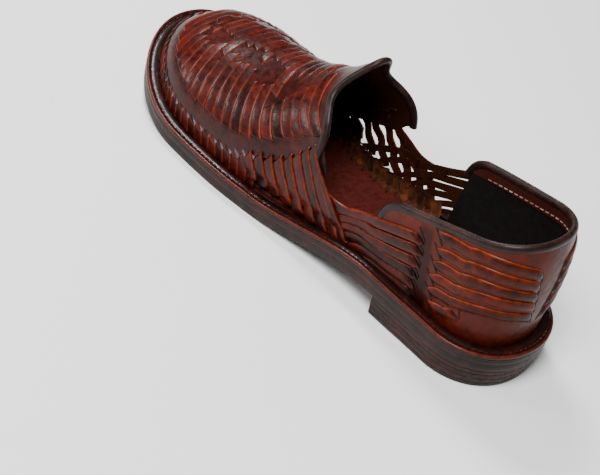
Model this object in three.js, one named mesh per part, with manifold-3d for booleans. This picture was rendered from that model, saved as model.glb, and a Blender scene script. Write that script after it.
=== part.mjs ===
// Woven leather huarache shoe, left foot, standing empty on its sole.
// Lengths are in millimetres. X runs from the heel to the toe, +Y is the wearer's left (lateral)
// side and Z is up. The pieces are worked out with the back of the heel at x = 0 and the floor at
// z = 0, and the finished group is moved so that its bounding box is centred on the origin.

import * as THREE from 'three';
import { mergeVertices } from 'three/addons/utils/BufferGeometryUtils.js';
import Module from 'manifold-3d';

const wasm = await Module();
wasm.setup();

// ---------------------------------------------------------------- driving dimensions

const SOLE_LENGTH = 296;
const GAP = 0.3; // clearance that neighbouring pieces keep
const OUTSOLE = 4.6; // layer thicknesses, from the floor up
const MIDSOLE = 3.5;
const WELT = 2.5;
const INSOLE = 2.8;
const HEEL_HEIGHT = 13.2;
const HEEL_LENGTH = 75;
const HEEL_TAPER = 1.6; // how far the heel's foot stands in from its top, all round
const TOE_SPRING = 17;
const WELT_WIDTH = 7.3; // shelf seen outside the upper
const WALL = 2.2; // woven upper and heel counter
const STRAP = 1.4; // a single strap, where it lies over the counter
const BINDING = { thick: 4.4, deep: 4.6 }; // rolled edge of collar and throat

const TOE_CENTRE = { x: 225, y: -6 }; // the toe's sections fan around this point
const HEEL_CENTRE = { x: 38, y: 0 }; // and the heel's around this one
const TOE_FULLNESS = { lateral: 1.95, medial: 2.4 }; // superellipse powers of the toe outline
const HEEL_FULLNESS = 2.1;

// Half-widths of the sole between the two fans, measured from the heel's axis.
const OUTLINE = [
  { x: 38, lateral: 39.5, medial: 39.5 },
  { x: 70, lateral: 40.8, medial: 39 },
  { x: 100, lateral: 41.2, medial: 37.4 },
  { x: 130, lateral: 43.6, medial: 37.6 },
  { x: 160, lateral: 48, medial: 42.4 },
  { x: 190, lateral: 52, medial: 48.8 },
  { x: 225, lateral: 53, medial: 54 },
];

// Underside of the outsole: heel seat, shank, flat tread and toe spring.
const TREAD = { heelEnd: 77, flatStart: 168, flatEnd: 217 };

// Sections of the last: the ridge's place over each x, how far the wall swells beyond its foot,
// how much more than that it flares on the medial side, and how wide the shoulder under the ridge
// is as a share of the half-width. Behind the throat the ridge is the ankle that the quarters lean
// towards.
const SECTIONS = [
  { x: 38, ridgeY: 0, ridgeZ: 118, swell: 1.2, flare: 2, shoulder: 0.88 },
  { x: 100, ridgeY: 0, ridgeZ: 118, swell: 0.8, flare: 5, shoulder: 0.8 },
  { x: 130, ridgeY: -1, ridgeZ: 112, swell: 1, flare: 4, shoulder: 0.6 },
  { x: 153, ridgeY: -2, ridgeZ: 93, swell: 1.4, flare: 2.5, shoulder: 0.45 },
  { x: 162, ridgeY: -2.5, ridgeZ: 84, swell: 1.8, flare: 1.8, shoulder: 0.45 },
  { x: 173, ridgeY: -3, ridgeZ: 75.5, swell: 2.2, flare: 1, shoulder: 0.48 },
  { x: 187, ridgeY: -4, ridgeZ: 66, swell: 2.4, flare: 0.4, shoulder: 0.53 },
  { x: 206, ridgeY: -5, ridgeZ: 58.5, swell: 2.4, flare: 0, shoulder: 0.57 },
  { x: 225, ridgeY: -6, ridgeZ: 54, swell: 2.4, flare: 0, shoulder: 0.61 },
];
const TOE_TIP = { swell: 1.4, shoulder: 0.72 }; // the same two values at the very tip
const WALL_LIFT = 0.5; // height of the wall's control point as a share of the section's height

// Top line of the strap work behind the vamp on the lateral side, its underside, how much higher
// its top lies on the medial side, and how far it stands off the last: the straps climb over the
// counter's front edge and lie on its outside.
const STRAP_BAND = [
  { x: 58, top: 62, bottom: 25.5, medialLift: 5, standOff: WALL + GAP },
  { x: 91, top: 49.4, bottom: 24.8, medialLift: 7, standOff: WALL + GAP },
  { x: 96, top: 47, bottom: 24.6, medialLift: 7, standOff: WALL + GAP },
  { x: 103, top: 43.4, bottom: 24, medialLift: 7, standOff: 0.8 },
  { x: 109, top: 40.4, bottom: 0, medialLift: 7, standOff: 0 },
  { x: 120, top: 38, bottom: 0, medialLift: 7, standOff: 0 },
  { x: 134, top: 40, bottom: 0, medialLift: 7, standOff: 0 },
  { x: 153, top: 48, bottom: 0, medialLift: 4, standOff: 0 },
];
const STRAPS_RISE = 109; // where the straps leave the sole for the counter
const STRAPS_END = 65; // where the straps tuck into the counter
// Rear edge of the vamp: its peak's place, how far its foot lies behind that on each side, and how
// deep and how high up the hollow is that leaves the peak standing between the two sides.
const THROAT = { x: 148, lateralLean: 6, medialLean: 17, hollow: 11, hollowFoot: 0.35 };

// Rows of openings between the straps, each row rising towards the heel.
const LATTICE = [
  { x0: 188, z0: 18.5, x1: 145, z1: 38, holes: 6, height0: 9, height1: 4.5 },
  { x0: 164, z0: 21.5, x1: 141, z1: 33.2, holes: 4, height0: 3.6, height1: 3 },
  { x0: 151, z0: 20, x1: 131, z1: 31, holes: 4, height0: 3.2, height1: 2.8 },
  { x0: 140, z0: 18.5, x1: 124, z1: 28.5, holes: 3, height0: 3.2, height1: 2.6 },
  { x0: 128, z0: 16.5, x1: 116, z1: 26, holes: 3, height0: 3.2, height1: 2.6 },
];
const HOLE_SHARE = 0.46; // share of a row's pitch that is open
const HOLE_LEAN = 0.3; // forward lean of the openings' sides, per mm of height

// Slots between the straps that cross the shank to the counter.
const SLOTS = [
  { x0: 113, z0: 35.2, z1: 55.4, height: 1.9 },
  { x0: 110, z0: 31, z1: 49.2, height: 1.7 },
  { x0: 105, z0: 28.2, z1: 43.2, height: 1.8 },
  { x0: 99, z0: 26.4, z1: 37.2, height: 1.7 },
  { x0: 91, z0: 26.2, z1: 31.4, height: 1.4 },
];

// Heel counter: its top line rises from the front corner on each side to the back.
const COUNTER = { front: 91, back: 8, lateralTop: 59.5, medialTop: 64.5, backTop: 86.5 };
// Rows of the counter up its height, and how far the rounded front corner stands back in each.
const COUNTER_ROWS = [
  { height: 0, setBack: 0 },
  { height: 0.22, setBack: 0 },
  { height: 0.44, setBack: 0 },
  { height: 0.64, setBack: 0 },
  { height: 0.8, setBack: 0.4 },
  { height: 0.9, setBack: 1.8 },
  { height: 0.96, setBack: 4 },
  { height: 1, setBack: 8 },
];

const STEPS = { toe: 9, vamp: 9, shank: 6, overCounter: 3, quarter: 5, heel: 9, low: 5, high: 9 };

const COLOURS = {
  outsole: { color: 0x33231f, roughness: 0.7 },
  midsole: { color: 0x4a241c, roughness: 0.7 },
  welt: { color: 0x3a1512, roughness: 0.45 },
  heel: { color: 0x35231f, roughness: 0.7 },
  insole: { color: 0x561c16, roughness: 0.85 },
  upper: { color: 0x6e2416, roughness: 0.35 },
  heel_counter: { color: 0x863518, roughness: 0.35 },
  throat_binding: { color: 0x2b1a18, roughness: 0.45 },
  collar_binding: { color: 0x2b1a18, roughness: 0.45 },
};

// ---------------------------------------------------------------- curves

const { lerp, clamp } = THREE.MathUtils;
const LATERAL = 1;
const MEDIAL = -1;

// Smooth curve through a column of a table, over its x. Flat ends meet the fans' arcs squarely.
function column(rows, name, flatEnds = false) {
  const slope = rows.map((row, i) => {
    const before = rows[Math.max(i - 1, 0)];
    const after = rows[Math.min(i + 1, rows.length - 1)];
    const atEnd = before === row || after === row;
    return atEnd && flatEnds ? 0 : (after[name] - before[name]) / (after.x - before.x);
  });
  return (x) => {
    const last = rows.length - 2;
    const i = clamp(rows.findLastIndex((row) => row.x <= x), 0, last);
    const span = rows[i + 1].x - rows[i].x;
    const u = clamp((x - rows[i].x) / span, 0, 1);
    const rise = rows[i + 1][name] - rows[i][name];
    const bend = (1 - u) * (slope[i] * span - rise) + u * (rise - slope[i + 1] * span);
    return rows[i][name] + u * rise + u * (1 - u) * bend;
  };
}

const halfWidth = {
  [LATERAL]: column(OUTLINE, 'lateral', true),
  [MEDIAL]: column(OUTLINE, 'medial', true),
};
const ridgeY = column(SECTIONS, 'ridgeY');
const ridgeZ = column(SECTIONS, 'ridgeZ');
const swell = column(SECTIONS, 'swell');
const flare = column(SECTIONS, 'flare');
const shoulder = column(SECTIONS, 'shoulder');
const strapTop = column(STRAP_BAND, 'top');
const strapBottom = column(STRAP_BAND, 'bottom');
const strapStandOff = column(STRAP_BAND, 'standOff');
const medialLift = column(STRAP_BAND, 'medialLift');

// How much higher the strap work lies at x on one side than on the lateral side.
function liftOf(side, x) {
  return side === MEDIAL ? medialLift(x) : 0;
}

function ridgeSlope(x) {
  return (ridgeZ(x) - ridgeZ(x - 0.5)) / 0.5;
}

// Height of the outsole's underside over the floor.
function treadZ(x) {
  if (x <= TREAD.heelEnd) return HEEL_HEIGHT;
  if (x < TREAD.flatStart) {
    const u = (x - TREAD.heelEnd) / (TREAD.flatStart - TREAD.heelEnd);
    return HEEL_HEIGHT * (1 - u) ** 2 * (1 + 2 * u);
  }
  if (x <= TREAD.flatEnd) return 0;
  return TOE_SPRING * ((x - TREAD.flatEnd) / (SOLE_LENGTH - TREAD.flatEnd)) ** 2;
}

const SEAT = OUTSOLE + GAP + MIDSOLE + GAP; // height of upper and insole over the tread

// ---------------------------------------------------------------- stations round the sole

// A station s places a section: 0 is the toe's tip, 1 the widest part of the toe, 2 the middle
// of the heel and 3 the back of the heel.
function stationAt(x) {
  return 1 + (TOE_CENTRE.x - x) / (TOE_CENTRE.x - HEEL_CENTRE.x);
}

function superellipse(angle, along, across, power) {
  const a = Math.abs(Math.cos(angle)) / along;
  const b = Math.abs(Math.sin(angle)) / across;
  return (a ** power + b ** power) ** (-1 / power);
}

// Centre, direction and reach of the section at a station on one side.
function section(s, side) {
  if (s < 1) {
    const angle = (s * Math.PI) / 2;
    const across = halfWidth[side](TOE_CENTRE.x) - side * TOE_CENTRE.y;
    const power = side === LATERAL ? TOE_FULLNESS.lateral : TOE_FULLNESS.medial;
    const reach = superellipse(angle, SOLE_LENGTH - TOE_CENTRE.x, across, power);
    return { ...TOE_CENTRE, dx: Math.cos(angle), dy: side * Math.sin(angle), reach };
  }
  if (s <= 2) {
    const x = lerp(TOE_CENTRE.x, HEEL_CENTRE.x, s - 1);
    const y = ridgeY(x);
    return { x, y, dx: 0, dy: side, reach: halfWidth[side](x) - side * y };
  }
  const angle = ((s - 1) * Math.PI) / 2;
  const across = halfWidth[side](HEEL_CENTRE.x);
  const reach = superellipse(angle, HEEL_CENTRE.x, across, HEEL_FULLNESS);
  return { ...HEEL_CENTRE, dx: Math.cos(angle), dy: side * Math.sin(angle), reach };
}

// Point of the sole's rim, moved in by inset, at a height over the tread.
function rim(s, side, inset, height) {
  const at = section(s, side);
  const x = at.x + at.dx * (at.reach - inset);
  const y = at.y + at.dy * (at.reach - inset);
  return new THREE.Vector3(x, y, treadZ(x) + height);
}

// ---------------------------------------------------------------- the last

const SWELL_SCALE = 45.56; // brings the swell's highest value, at t = 1/3, to one
const FOOT_INSET = WELT_WIDTH + 2 * GAP + WALL;

// Point of the last: t is 0 at the foot of the wall and 1 on the ridge.
function last(s, side, t) {
  const at = section(s, side);
  const reach = at.reach - FOOT_INSET;
  const foot = rim(s, side, FOOT_INSET, SEAT);
  const top = ridgeZ(at.x);
  const height = top - foot.z;
  const round = s > 2 ? (3 - s) ** 2 * (2 * s - 3) : 1; // the flare fades out around the heel
  const full = swell(at.x) + (side === MEDIAL ? flare(at.x) * round : 0);
  const out = s < 1 ? lerp(TOE_TIP.swell, full, s) : full;
  const share = s < 1 ? lerp(TOE_TIP.shoulder, shoulder(at.x), s) : shoulder(at.x);
  const shoulderZ = top + (s < 1 ? ridgeSlope(at.x) * at.dx * reach * share : 0);
  const curve = new THREE.CubicBezierCurve(
    new THREE.Vector2(reach, foot.z),
    new THREE.Vector2(reach, foot.z + WALL_LIFT * height),
    new THREE.Vector2(reach * share, shoulderZ),
    new THREE.Vector2(0, top),
  );
  const p = curve.getPoint(t);
  const r = p.x + out * SWELL_SCALE * t ** 2 * (1 - t) ** 4;
  return new THREE.Vector3(at.x + at.dx * r, at.y + at.dy * r, p.y);
}

// Outward normal of the last. On the ridge and at both ends the two sides share one normal.
function lastNormal(s, side, t) {
  if (t > 0.999) {
    const x = section(s, side).x;
    return new THREE.Vector3(-ridgeSlope(x), 0, 1).normalize();
  }
  const step = 0.004;
  const end = s < step || s > 3 - step;
  const near = clamp(s, step, 3 - step);
  const from = end ? last(near, LATERAL, t) : last(s - step, side, t);
  const to = end ? last(near, MEDIAL, t) : last(s + step, side, t);
  const along = to.sub(from);
  const up = last(s, side, t + step / 2).sub(last(s, side, Math.max(t - step / 2, 0)));
  const normal = along.cross(up);
  if (t < step) normal.z = 0;
  const at = section(s, side);
  if (normal.x * at.dx + normal.y * at.dy < 0) normal.negate();
  return normal.normalize();
}

// Point off the last by offset. The foot stays on the sole.
function skin(s, side, t, offset) {
  const p = last(s, side, t).addScaledVector(lastNormal(s, side, t), offset);
  if (t === 0) p.z = treadZ(p.x) + SEAT;
  return p;
}

// The t at which the wall reaches a height z.
function levelOf(s, side, z) {
  let low = 0;
  let high = 1;
  for (let i = 0; i < 30; i += 1) {
    const middle = (low + high) / 2;
    if (last(s, side, middle).z < z) low = middle;
    else high = middle;
  }
  return low;
}

// ---------------------------------------------------------------- solids

// Closed geometry from triangles given as triples of points: shared corners are merged and
// triangles that have shrunk to a line are dropped.
function solid(triangles) {
  const positions = new Float32Array(triangles.flatMap((p) => [p.x, p.y, p.z]));
  const loose = new THREE.BufferGeometry();
  loose.setAttribute('position', new THREE.BufferAttribute(positions, 3));
  const merged = mergeVertices(loose, 1e-3);
  const index = Array.from(merged.index.array);
  const kept = [];
  for (let i = 0; i < index.length; i += 3) {
    const [a, b, c] = index.slice(i, i + 3);
    if (a !== b && b !== c && c !== a) kept.push(a, b, c);
  }
  merged.setIndex(kept);
  return merged;
}

// Both triangles of the quad a b c d, in turn.
function quad(a, b, c, d) {
  return [a, b, c, a, c, d];
}

// Solid through rings of points, each ring turning the same way, with flat ends.
function loft(rings) {
  const out = [];
  const n = rings[0].length;
  for (let i = 0; i + 1 < rings.length; i += 1) {
    for (let j = 0; j < n; j += 1) {
      const k = (j + 1) % n;
      out.push(...quad(rings[i][j], rings[i][k], rings[i + 1][k], rings[i + 1][j]));
    }
  }
  const cap = (ring, turn) => {
    const middle = ring.reduce((sum, p) => sum.add(p), new THREE.Vector3()).divideScalar(n);
    for (let j = 0; j < n; j += 1) {
      const pair = [ring[j], ring[(j + 1) % n]];
      out.push(middle, ...(turn ? pair.reverse() : pair));
    }
  };
  cap(rings[0], true);
  cap(rings[rings.length - 1], false);
  return facingOut(solid(out));
}

// Turns a closed geometry's triangles over where they enclose a negative volume.
function facingOut(geometry) {
  const p = geometry.attributes.position;
  const index = Array.from(geometry.index.array);
  const [a, b, c] = [new THREE.Vector3(), new THREE.Vector3(), new THREE.Vector3()];
  let volume = 0;
  for (let i = 0; i < index.length; i += 3) {
    a.fromBufferAttribute(p, index[i]);
    b.fromBufferAttribute(p, index[i + 1]);
    c.fromBufferAttribute(p, index[i + 2]);
    volume += a.dot(b.clone().cross(c));
  }
  if (volume < 0) geometry.setIndex(index.reverse());
  return geometry;
}

// Shell over a grid of cells: inner and outer give the corner points, and filled says which cells
// have wall. It is also asked about the cells just outside the grid, because a wall closes the
// shell wherever a filled cell has none beside it.
function shell(columns, rows, filled, inner, outer) {
  const out = [];
  const side = (i0, j0, i1, j1) => {
    out.push(...quad(outer(i0, j0), inner(i0, j0), inner(i1, j1), outer(i1, j1)));
  };
  for (let i = 0; i < columns; i += 1) {
    for (let j = 0; j < rows; j += 1) {
      if (!filled(i, j)) continue;
      out.push(...quad(outer(i, j), outer(i + 1, j), outer(i + 1, j + 1), outer(i, j + 1)));
      out.push(...quad(inner(i, j), inner(i, j + 1), inner(i + 1, j + 1), inner(i + 1, j)));
      if (!filled(i, j - 1)) side(i, j, i + 1, j);
      if (!filled(i + 1, j)) side(i + 1, j, i + 1, j + 1);
      if (!filled(i, j + 1)) side(i + 1, j + 1, i, j + 1);
      if (!filled(i - 1, j)) side(i, j + 1, i, j);
    }
  }
  return facingOut(solid(out));
}

function toManifold(geometry) {
  const vertProperties = new Float32Array(geometry.attributes.position.array);
  const triVerts = new Uint32Array(geometry.index.array);
  return new wasm.Manifold(new wasm.Mesh({ numProp: 3, vertProperties, triVerts }));
}

function fromManifold(manifold) {
  const mesh = manifold.getMesh();
  const geometry = new THREE.BufferGeometry();
  geometry.setAttribute('position', new THREE.BufferAttribute(mesh.vertProperties, 3));
  geometry.setIndex(Array.from(mesh.triVerts));
  return geometry;
}

// ---------------------------------------------------------------- sole pieces

// Stations from the toe's tip to the back of the heel, where every layer of the sole has a row.
function soleStations() {
  const stations = [];
  for (let i = 0; i < STEPS.toe; i += 1) stations.push(i / STEPS.toe);
  const marks = [TOE_CENTRE.x, TREAD.flatEnd, 200, 182, TREAD.flatStart];
  const shank = [156, 145, 134, 123, 112, 101, 91, TREAD.heelEnd, 58];
  stations.push(...[...marks, ...shank].map(stationAt));
  for (let i = 0; i <= STEPS.heel; i += 1) stations.push(2 + i / STEPS.heel);
  return stations;
}

// A layer of the sole between two heights over the tread.
function layer(inset, bottom, top) {
  return loft(soleStations().map((s) => [
    rim(s, LATERAL, inset, top),
    rim(s, MEDIAL, inset, top),
    rim(s, MEDIAL, inset, bottom),
    rim(s, LATERAL, inset, bottom),
  ]));
}

// The welt is a ring on the layer below, open inside for the upper and the insole.
function weltRing() {
  const stations = soleStations();
  const low = SEAT;
  const high = SEAT + WELT;
  const way = [
    ...stations.map((s) => [s, LATERAL]),
    ...stations.slice(1, -1).reverse().map((s) => [s, MEDIAL]),
  ];
  const rings = way.map(([s, side]) => [
    rim(s, side, 0, low),
    rim(s, side, WELT_WIDTH, low),
    rim(s, side, WELT_WIDTH, high),
    rim(s, side, 0, high),
  ]);
  const out = [];
  rings.forEach((ring, i) => {
    const next = rings[(i + 1) % rings.length];
    ring.forEach((p, j) => {
      const k = (j + 1) % ring.length;
      out.push(...quad(p, ring[k], next[k], next[j]));
    });
  });
  return facingOut(solid(out));
}

// The heel is a block under the seat with a slightly hollow breast at the front.
function heelBlock() {
  const breast = 2.5;
  const ring = (inset, z) => {
    const half = [stationAt(HEEL_LENGTH), stationAt(58)];
    for (let i = 0; i <= STEPS.heel; i += 1) half.push(2 + i / STEPS.heel);
    const points = [
      ...half.map((s) => rim(s, LATERAL, inset, 0)),
      ...half.slice(0, -1).reverse().map((s) => rim(s, MEDIAL, inset, 0)),
      new THREE.Vector3(HEEL_LENGTH - breast, 0, 0),
    ];
    return points.map((p) => p.setZ(z));
  };
  return loft([ring(1 + HEEL_TAPER, 0), ring(1, HEEL_HEIGHT - GAP)]);
}

// ---------------------------------------------------------------- upper

// x of a station line at level t. Around the throat the lines lean back towards the foot, and are
// hollowed forwards below the peak.
function leaning(x, t, side) {
  const fade = x > THROAT.x
    ? (TOE_CENTRE.x - x) / (TOE_CENTRE.x - THROAT.x)
    : (x - COUNTER.front) / (THROAT.x - COUNTER.front);
  const back = (side === LATERAL ? THROAT.lateralLean : THROAT.medialLean) * (1 - t);
  const up = clamp((t - THROAT.hollowFoot) / (1 - THROAT.hollowFoot), 0, 1);
  const forward = THROAT.hollow * Math.sin(Math.PI * up) ** 2;
  return x + (forward - back) * clamp(fade, 0, 1);
}

// Share of the wall taken by the band of straps below the vamp's rear edge.
function bandTop(s, side) {
  const x = section(s, side).x;
  const throat = levelOf(stationAt(THROAT.x), side, strapTop(THROAT.x) + liftOf(side, THROAT.x));
  if (s < 1 || x > THROAT.x) {
    const forward = s < 1 ? 1 : (x - THROAT.x) / (TOE_CENTRE.x - THROAT.x);
    return lerp(throat, 0.42, forward);
  }
  return levelOf(s, side, strapTop(x) + liftOf(side, x));
}

function upperStations() {
  const stations = [];
  const span = (from, to, steps) => {
    for (let i = 0; i < steps; i += 1) stations.push(stationAt(lerp(from, to, i / steps)));
  };
  for (let i = 0; i < STEPS.toe; i += 1) stations.push(i / STEPS.toe);
  span(TOE_CENTRE.x, THROAT.x, STEPS.vamp);
  span(THROAT.x, STRAPS_RISE, STEPS.shank);
  span(STRAPS_RISE, COUNTER.front, STEPS.overCounter);
  span(COUNTER.front, STRAPS_END, STEPS.overCounter);
  stations.push(stationAt(STRAPS_END));
  return stations;
}

// Corner (i, j) of the upper's grid, which runs from the lateral straps round the toe to the
// medial straps and from the foot to the ridge.
function upperCorner(stations, i, j, outer) {
  const half = stations.length - 1;
  const side = i <= half ? LATERAL : MEDIAL;
  const s0 = stations[Math.abs(i - half)];
  const x = section(s0, side).x;
  const top = bandTop(s0, side);
  const bottom = s0 > 1 && strapBottom(x) > 1 ? levelOf(s0, side, strapBottom(x)) : 0;
  const t = j <= STEPS.low
    ? lerp(bottom, top, j / STEPS.low)
    : lerp(top, 1, (j - STEPS.low) / STEPS.high);
  const s = s0 > 1 ? stationAt(leaning(x, t, side)) : s0;
  const standOff = s0 > 1 ? Math.max(strapStandOff(x), 0) : 0;
  const thickness = lerp(WALL, STRAP, clamp(standOff / (WALL + GAP), 0, 1));
  return skin(s, side, t, standOff + (outer ? thickness : 0));
}

// Opening through both walls of the upper: a four-sided bar along Y, from corners in X and Z.
function bar(corners, side) {
  const reach = { near: 12, far: 70 };
  const ring = (y) => corners.map(([x, z]) => new THREE.Vector3(x, side * y, z));
  return loft([ring(reach.near), ring(reach.far)]);
}

// Openings of the lattice, without those that would reach down behind the welt.
function latticeHoles(side) {
  const floor = (x) => treadZ(x) + SEAT + WELT + 1;
  return LATTICE.flatMap((row) => {
    const pitch = 1 / (row.holes - 1);
    const halfX = (HOLE_SHARE * pitch * (row.x0 - row.x1)) / 2;
    const halfZ = (HOLE_SHARE * pitch * (row.z1 - row.z0)) / 2;
    return Array.from({ length: row.holes }, (_, i) => {
      const x = lerp(row.x0, row.x1, i * pitch);
      const z = lerp(row.z0, row.z1, i * pitch) + liftOf(side, x);
      const up = lerp(row.height0, row.height1, i * pitch) / 2;
      return z - up < floor(x) ? null : bar([
        [x + halfX - up * HOLE_LEAN, z - halfZ - up],
        [x + halfX + up * HOLE_LEAN, z - halfZ + up],
        [x - halfX + up * HOLE_LEAN, z + halfZ + up],
        [x - halfX - up * HOLE_LEAN, z + halfZ - up],
      ], side);
    }).filter((opening) => opening);
  });
}

function strapSlots(side) {
  const beyond = STRAPS_END - 4;
  return SLOTS.map(({ x0, z0, z1, height }) => {
    const front = z0 + liftOf(side, x0);
    const rear = z1 + liftOf(side, beyond);
    return bar([
      [x0, front],
      [x0 - height, front + height],
      [beyond, rear + height],
      [beyond, rear],
    ], side);
  });
}

function upperShell() {
  const stations = upperStations();
  const half = stations.length - 1;
  const throat = stations.findIndex((s) => s >= stationAt(THROAT.x) - 1e-9);
  // Above the top row, over the ridge, the wall goes on as the other side's.
  const filled = (i, j) => {
    const fromTip = i < half ? half - i - 1 : i - half;
    return j >= 0 && fromTip < (j < STEPS.low ? half : throat);
  };
  const corner = (outer) => (i, j) => upperCorner(stations, i, j, outer);
  const rows = STEPS.low + STEPS.high;
  const whole = shell(2 * half, rows, filled, corner(false), corner(true));
  let cut = toManifold(whole);
  [LATERAL, MEDIAL].forEach((side) => {
    [...latticeHoles(side), ...strapSlots(side)].forEach((opening) => {
      cut = cut.subtract(toManifold(opening));
    });
  });
  return fromManifold(cut);
}

// ---------------------------------------------------------------- heel counter

function counterStations() {
  const stations = [];
  for (let i = 0; i < STEPS.quarter; i += 1) {
    stations.push(lerp(stationAt(COUNTER.front), 2, i / STEPS.quarter));
  }
  for (let i = 0; i <= STEPS.heel; i += 1) stations.push(2 + i / STEPS.heel);
  return stations;
}

// Height of the counter's top line at a station.
function counterTop(s, side) {
  const x = rim(s, side, FOOT_INSET, 0).x;
  const back = clamp((COUNTER.front - x) / (COUNTER.front - COUNTER.back), 0, 1);
  const front = side === LATERAL ? COUNTER.lateralTop : COUNTER.medialTop;
  return lerp(front, COUNTER.backTop, back);
}

// Station of the counter's column, moved back by the rounded front corner.
function counterStation(s, setBack) {
  const fade = clamp(1 - (s - stationAt(COUNTER.front)) / 0.25, 0, 1);
  return s + (stationAt(0) - stationAt(1)) * setBack * fade;
}

function counterPoint(s, side, row, offset) {
  const moved = counterStation(s, row.setBack);
  const t = levelOf(moved, side, counterTop(moved, side)) * row.height;
  return skin(moved, side, t, offset);
}

function counterShell() {
  const stations = counterStations();
  const half = stations.length - 1;
  const corner = (offset) => (i, j) => {
    const side = i <= half ? LATERAL : MEDIAL;
    const s = stations[i <= half ? i : 2 * half - i];
    return counterPoint(s, side, COUNTER_ROWS[j], offset);
  };
  const rows = COUNTER_ROWS.length - 1;
  const filled = (i, j) => i >= 0 && j >= 0 && i < 2 * half && j < rows;
  return shell(2 * half, rows, filled, corner(0), corner(WALL));
}

// ---------------------------------------------------------------- rolled bindings

// Round binding beside an edge: the edge's points lie on the middle of the wall, each with the
// wall's normal, and away says which way the binding lies from the edge.
function binding(edge) {
  const sides = 8;
  return loft(edge.map(({ point, normal, away }) => {
    const centre = point.clone().addScaledVector(away, GAP + BINDING.deep / 2);
    return Array.from({ length: sides }, (_, k) => {
      const angle = (2 * Math.PI * (k + 0.5)) / sides;
      return centre.clone()
        .addScaledVector(away, (Math.cos(angle) * BINDING.deep) / 2)
        .addScaledVector(normal, (Math.sin(angle) * BINDING.thick) / 2);
    });
  }));
}

// Directions at an edge point: away from the wall, square to the edge and in the wall's surface.
function edgeFrame(points, normals, i, towards) {
  const before = points[Math.max(i - 1, 0)];
  const after = points[Math.min(i + 1, points.length - 1)];
  const along = after.clone().sub(before).normalize();
  const away = along.clone().cross(normals[i]).normalize();
  if (away.dot(towards) < 0) away.negate();
  return { point: points[i], normal: away.clone().cross(along).normalize(), away };
}

function throatBinding() {
  const foot = (side) => bandTop(stationAt(THROAT.x), side);
  const run = (side) => Array.from({ length: STEPS.high + 1 }, (_, i) => (
    { side, t: lerp(foot(side), 1, i / STEPS.high) }
  ));
  const way = [...run(LATERAL), ...run(MEDIAL).slice(0, -1).reverse()];
  const station = ({ side, t }) => stationAt(leaning(THROAT.x, t, side));
  const points = way.map((stop) => skin(station(stop), stop.side, stop.t, WALL / 2));
  const normals = way.map((stop) => lastNormal(station(stop), stop.side, stop.t));
  const backwards = new THREE.Vector3(-1, 0, 0);
  return binding(way.map((_, i) => edgeFrame(points, normals, i, backwards)));
}

function collarBinding() {
  const stations = counterStations();
  const front = stations[0];
  const upright = COUNTER_ROWS.slice(4);
  const top = COUNTER_ROWS[COUNTER_ROWS.length - 1];
  const way = [
    ...upright.map((row) => ({ s: front, side: LATERAL, row })),
    ...stations.slice(1).map((s) => ({ s, side: LATERAL, row: top })),
    ...stations.slice(1, -1).reverse().map((s) => ({ s, side: MEDIAL, row: top })),
    ...upright.reverse().map((row) => ({ s: front, side: MEDIAL, row })),
  ];
  const points = way.map(({ s, side, row }) => counterPoint(s, side, row, WALL / 2));
  const normals = way.map(({ s, side, row }) => {
    const moved = counterStation(s, row.setBack);
    return lastNormal(moved, side, levelOf(moved, side, counterTop(moved, side)) * row.height);
  });
  const outwards = new THREE.Vector3(1, 0, 1);
  const upwards = new THREE.Vector3(0, 0, 1);
  return binding(way.map(({ s }, i) => edgeFrame(points, normals, i, s === front ? outwards : upwards)));
}

// ---------------------------------------------------------------- assembly

function piece(name, geometry) {
  const material = new THREE.MeshStandardMaterial({ ...COLOURS[name], metalness: 0 });
  const flat = geometry.toNonIndexed();
  flat.computeVertexNormals();
  const mesh = new THREE.Mesh(flat, material);
  mesh.name = name;
  return mesh;
}

const shoe = new THREE.Group();
shoe.add(
  piece('outsole', layer(0.6, 0, OUTSOLE)),
  piece('midsole', layer(0.2, OUTSOLE + GAP, OUTSOLE + GAP + MIDSOLE)),
  piece('welt', weltRing()),
  piece('heel', heelBlock()),
  piece('insole', layer(FOOT_INSET + GAP, SEAT, SEAT + INSOLE)),
  piece('upper', upperShell()),
  piece('heel_counter', counterShell()),
  piece('throat_binding', throatBinding()),
  piece('collar_binding', collarBinding()),
);

const box = new THREE.Box3().setFromObject(shoe);
const middle = box.getCenter(new THREE.Vector3());
shoe.position.set(-middle.x, -middle.y, -box.min.z);

export default shoe;
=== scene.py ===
"""Looks of a left huarache shoe in hand-woven, hand-antiqued mahogany leather.

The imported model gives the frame. Every visible piece is laid on the same shoe last as the solids
of the part: lengths are millimetres in the last's own frame, with x from the back of the heel to
the toe, y to the outer side and z up from the floor, until a mesh is made in metres.
"""

import logging
import math
from dataclasses import dataclass, field
from enum import IntEnum
from typing import Callable, Iterable, Sequence

import bpy
import numpy as np
from mathutils import Matrix, Vector


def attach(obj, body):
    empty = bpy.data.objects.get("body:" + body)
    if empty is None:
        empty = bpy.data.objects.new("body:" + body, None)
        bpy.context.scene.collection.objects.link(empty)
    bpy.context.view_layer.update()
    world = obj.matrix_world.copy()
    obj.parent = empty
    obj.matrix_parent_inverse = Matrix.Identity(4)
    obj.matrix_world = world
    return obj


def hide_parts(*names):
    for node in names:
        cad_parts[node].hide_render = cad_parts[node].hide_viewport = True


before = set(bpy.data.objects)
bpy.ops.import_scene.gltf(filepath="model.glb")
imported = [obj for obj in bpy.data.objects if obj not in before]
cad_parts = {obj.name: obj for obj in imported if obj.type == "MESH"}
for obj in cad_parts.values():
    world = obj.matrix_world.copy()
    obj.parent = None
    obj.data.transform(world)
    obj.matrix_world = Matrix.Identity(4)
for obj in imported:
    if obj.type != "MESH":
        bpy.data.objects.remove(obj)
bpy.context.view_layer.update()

log = logging.getLogger("huarache")

Array = np.ndarray
Table = Sequence[tuple[float, float]]
Spans = tuple[tuple[float, float], ...]
Socket = bpy.types.NodeSocket
MARKS = ("tint", "edge", "shade", "flesh")  # what a mesh tells its finish at each vertex


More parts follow.
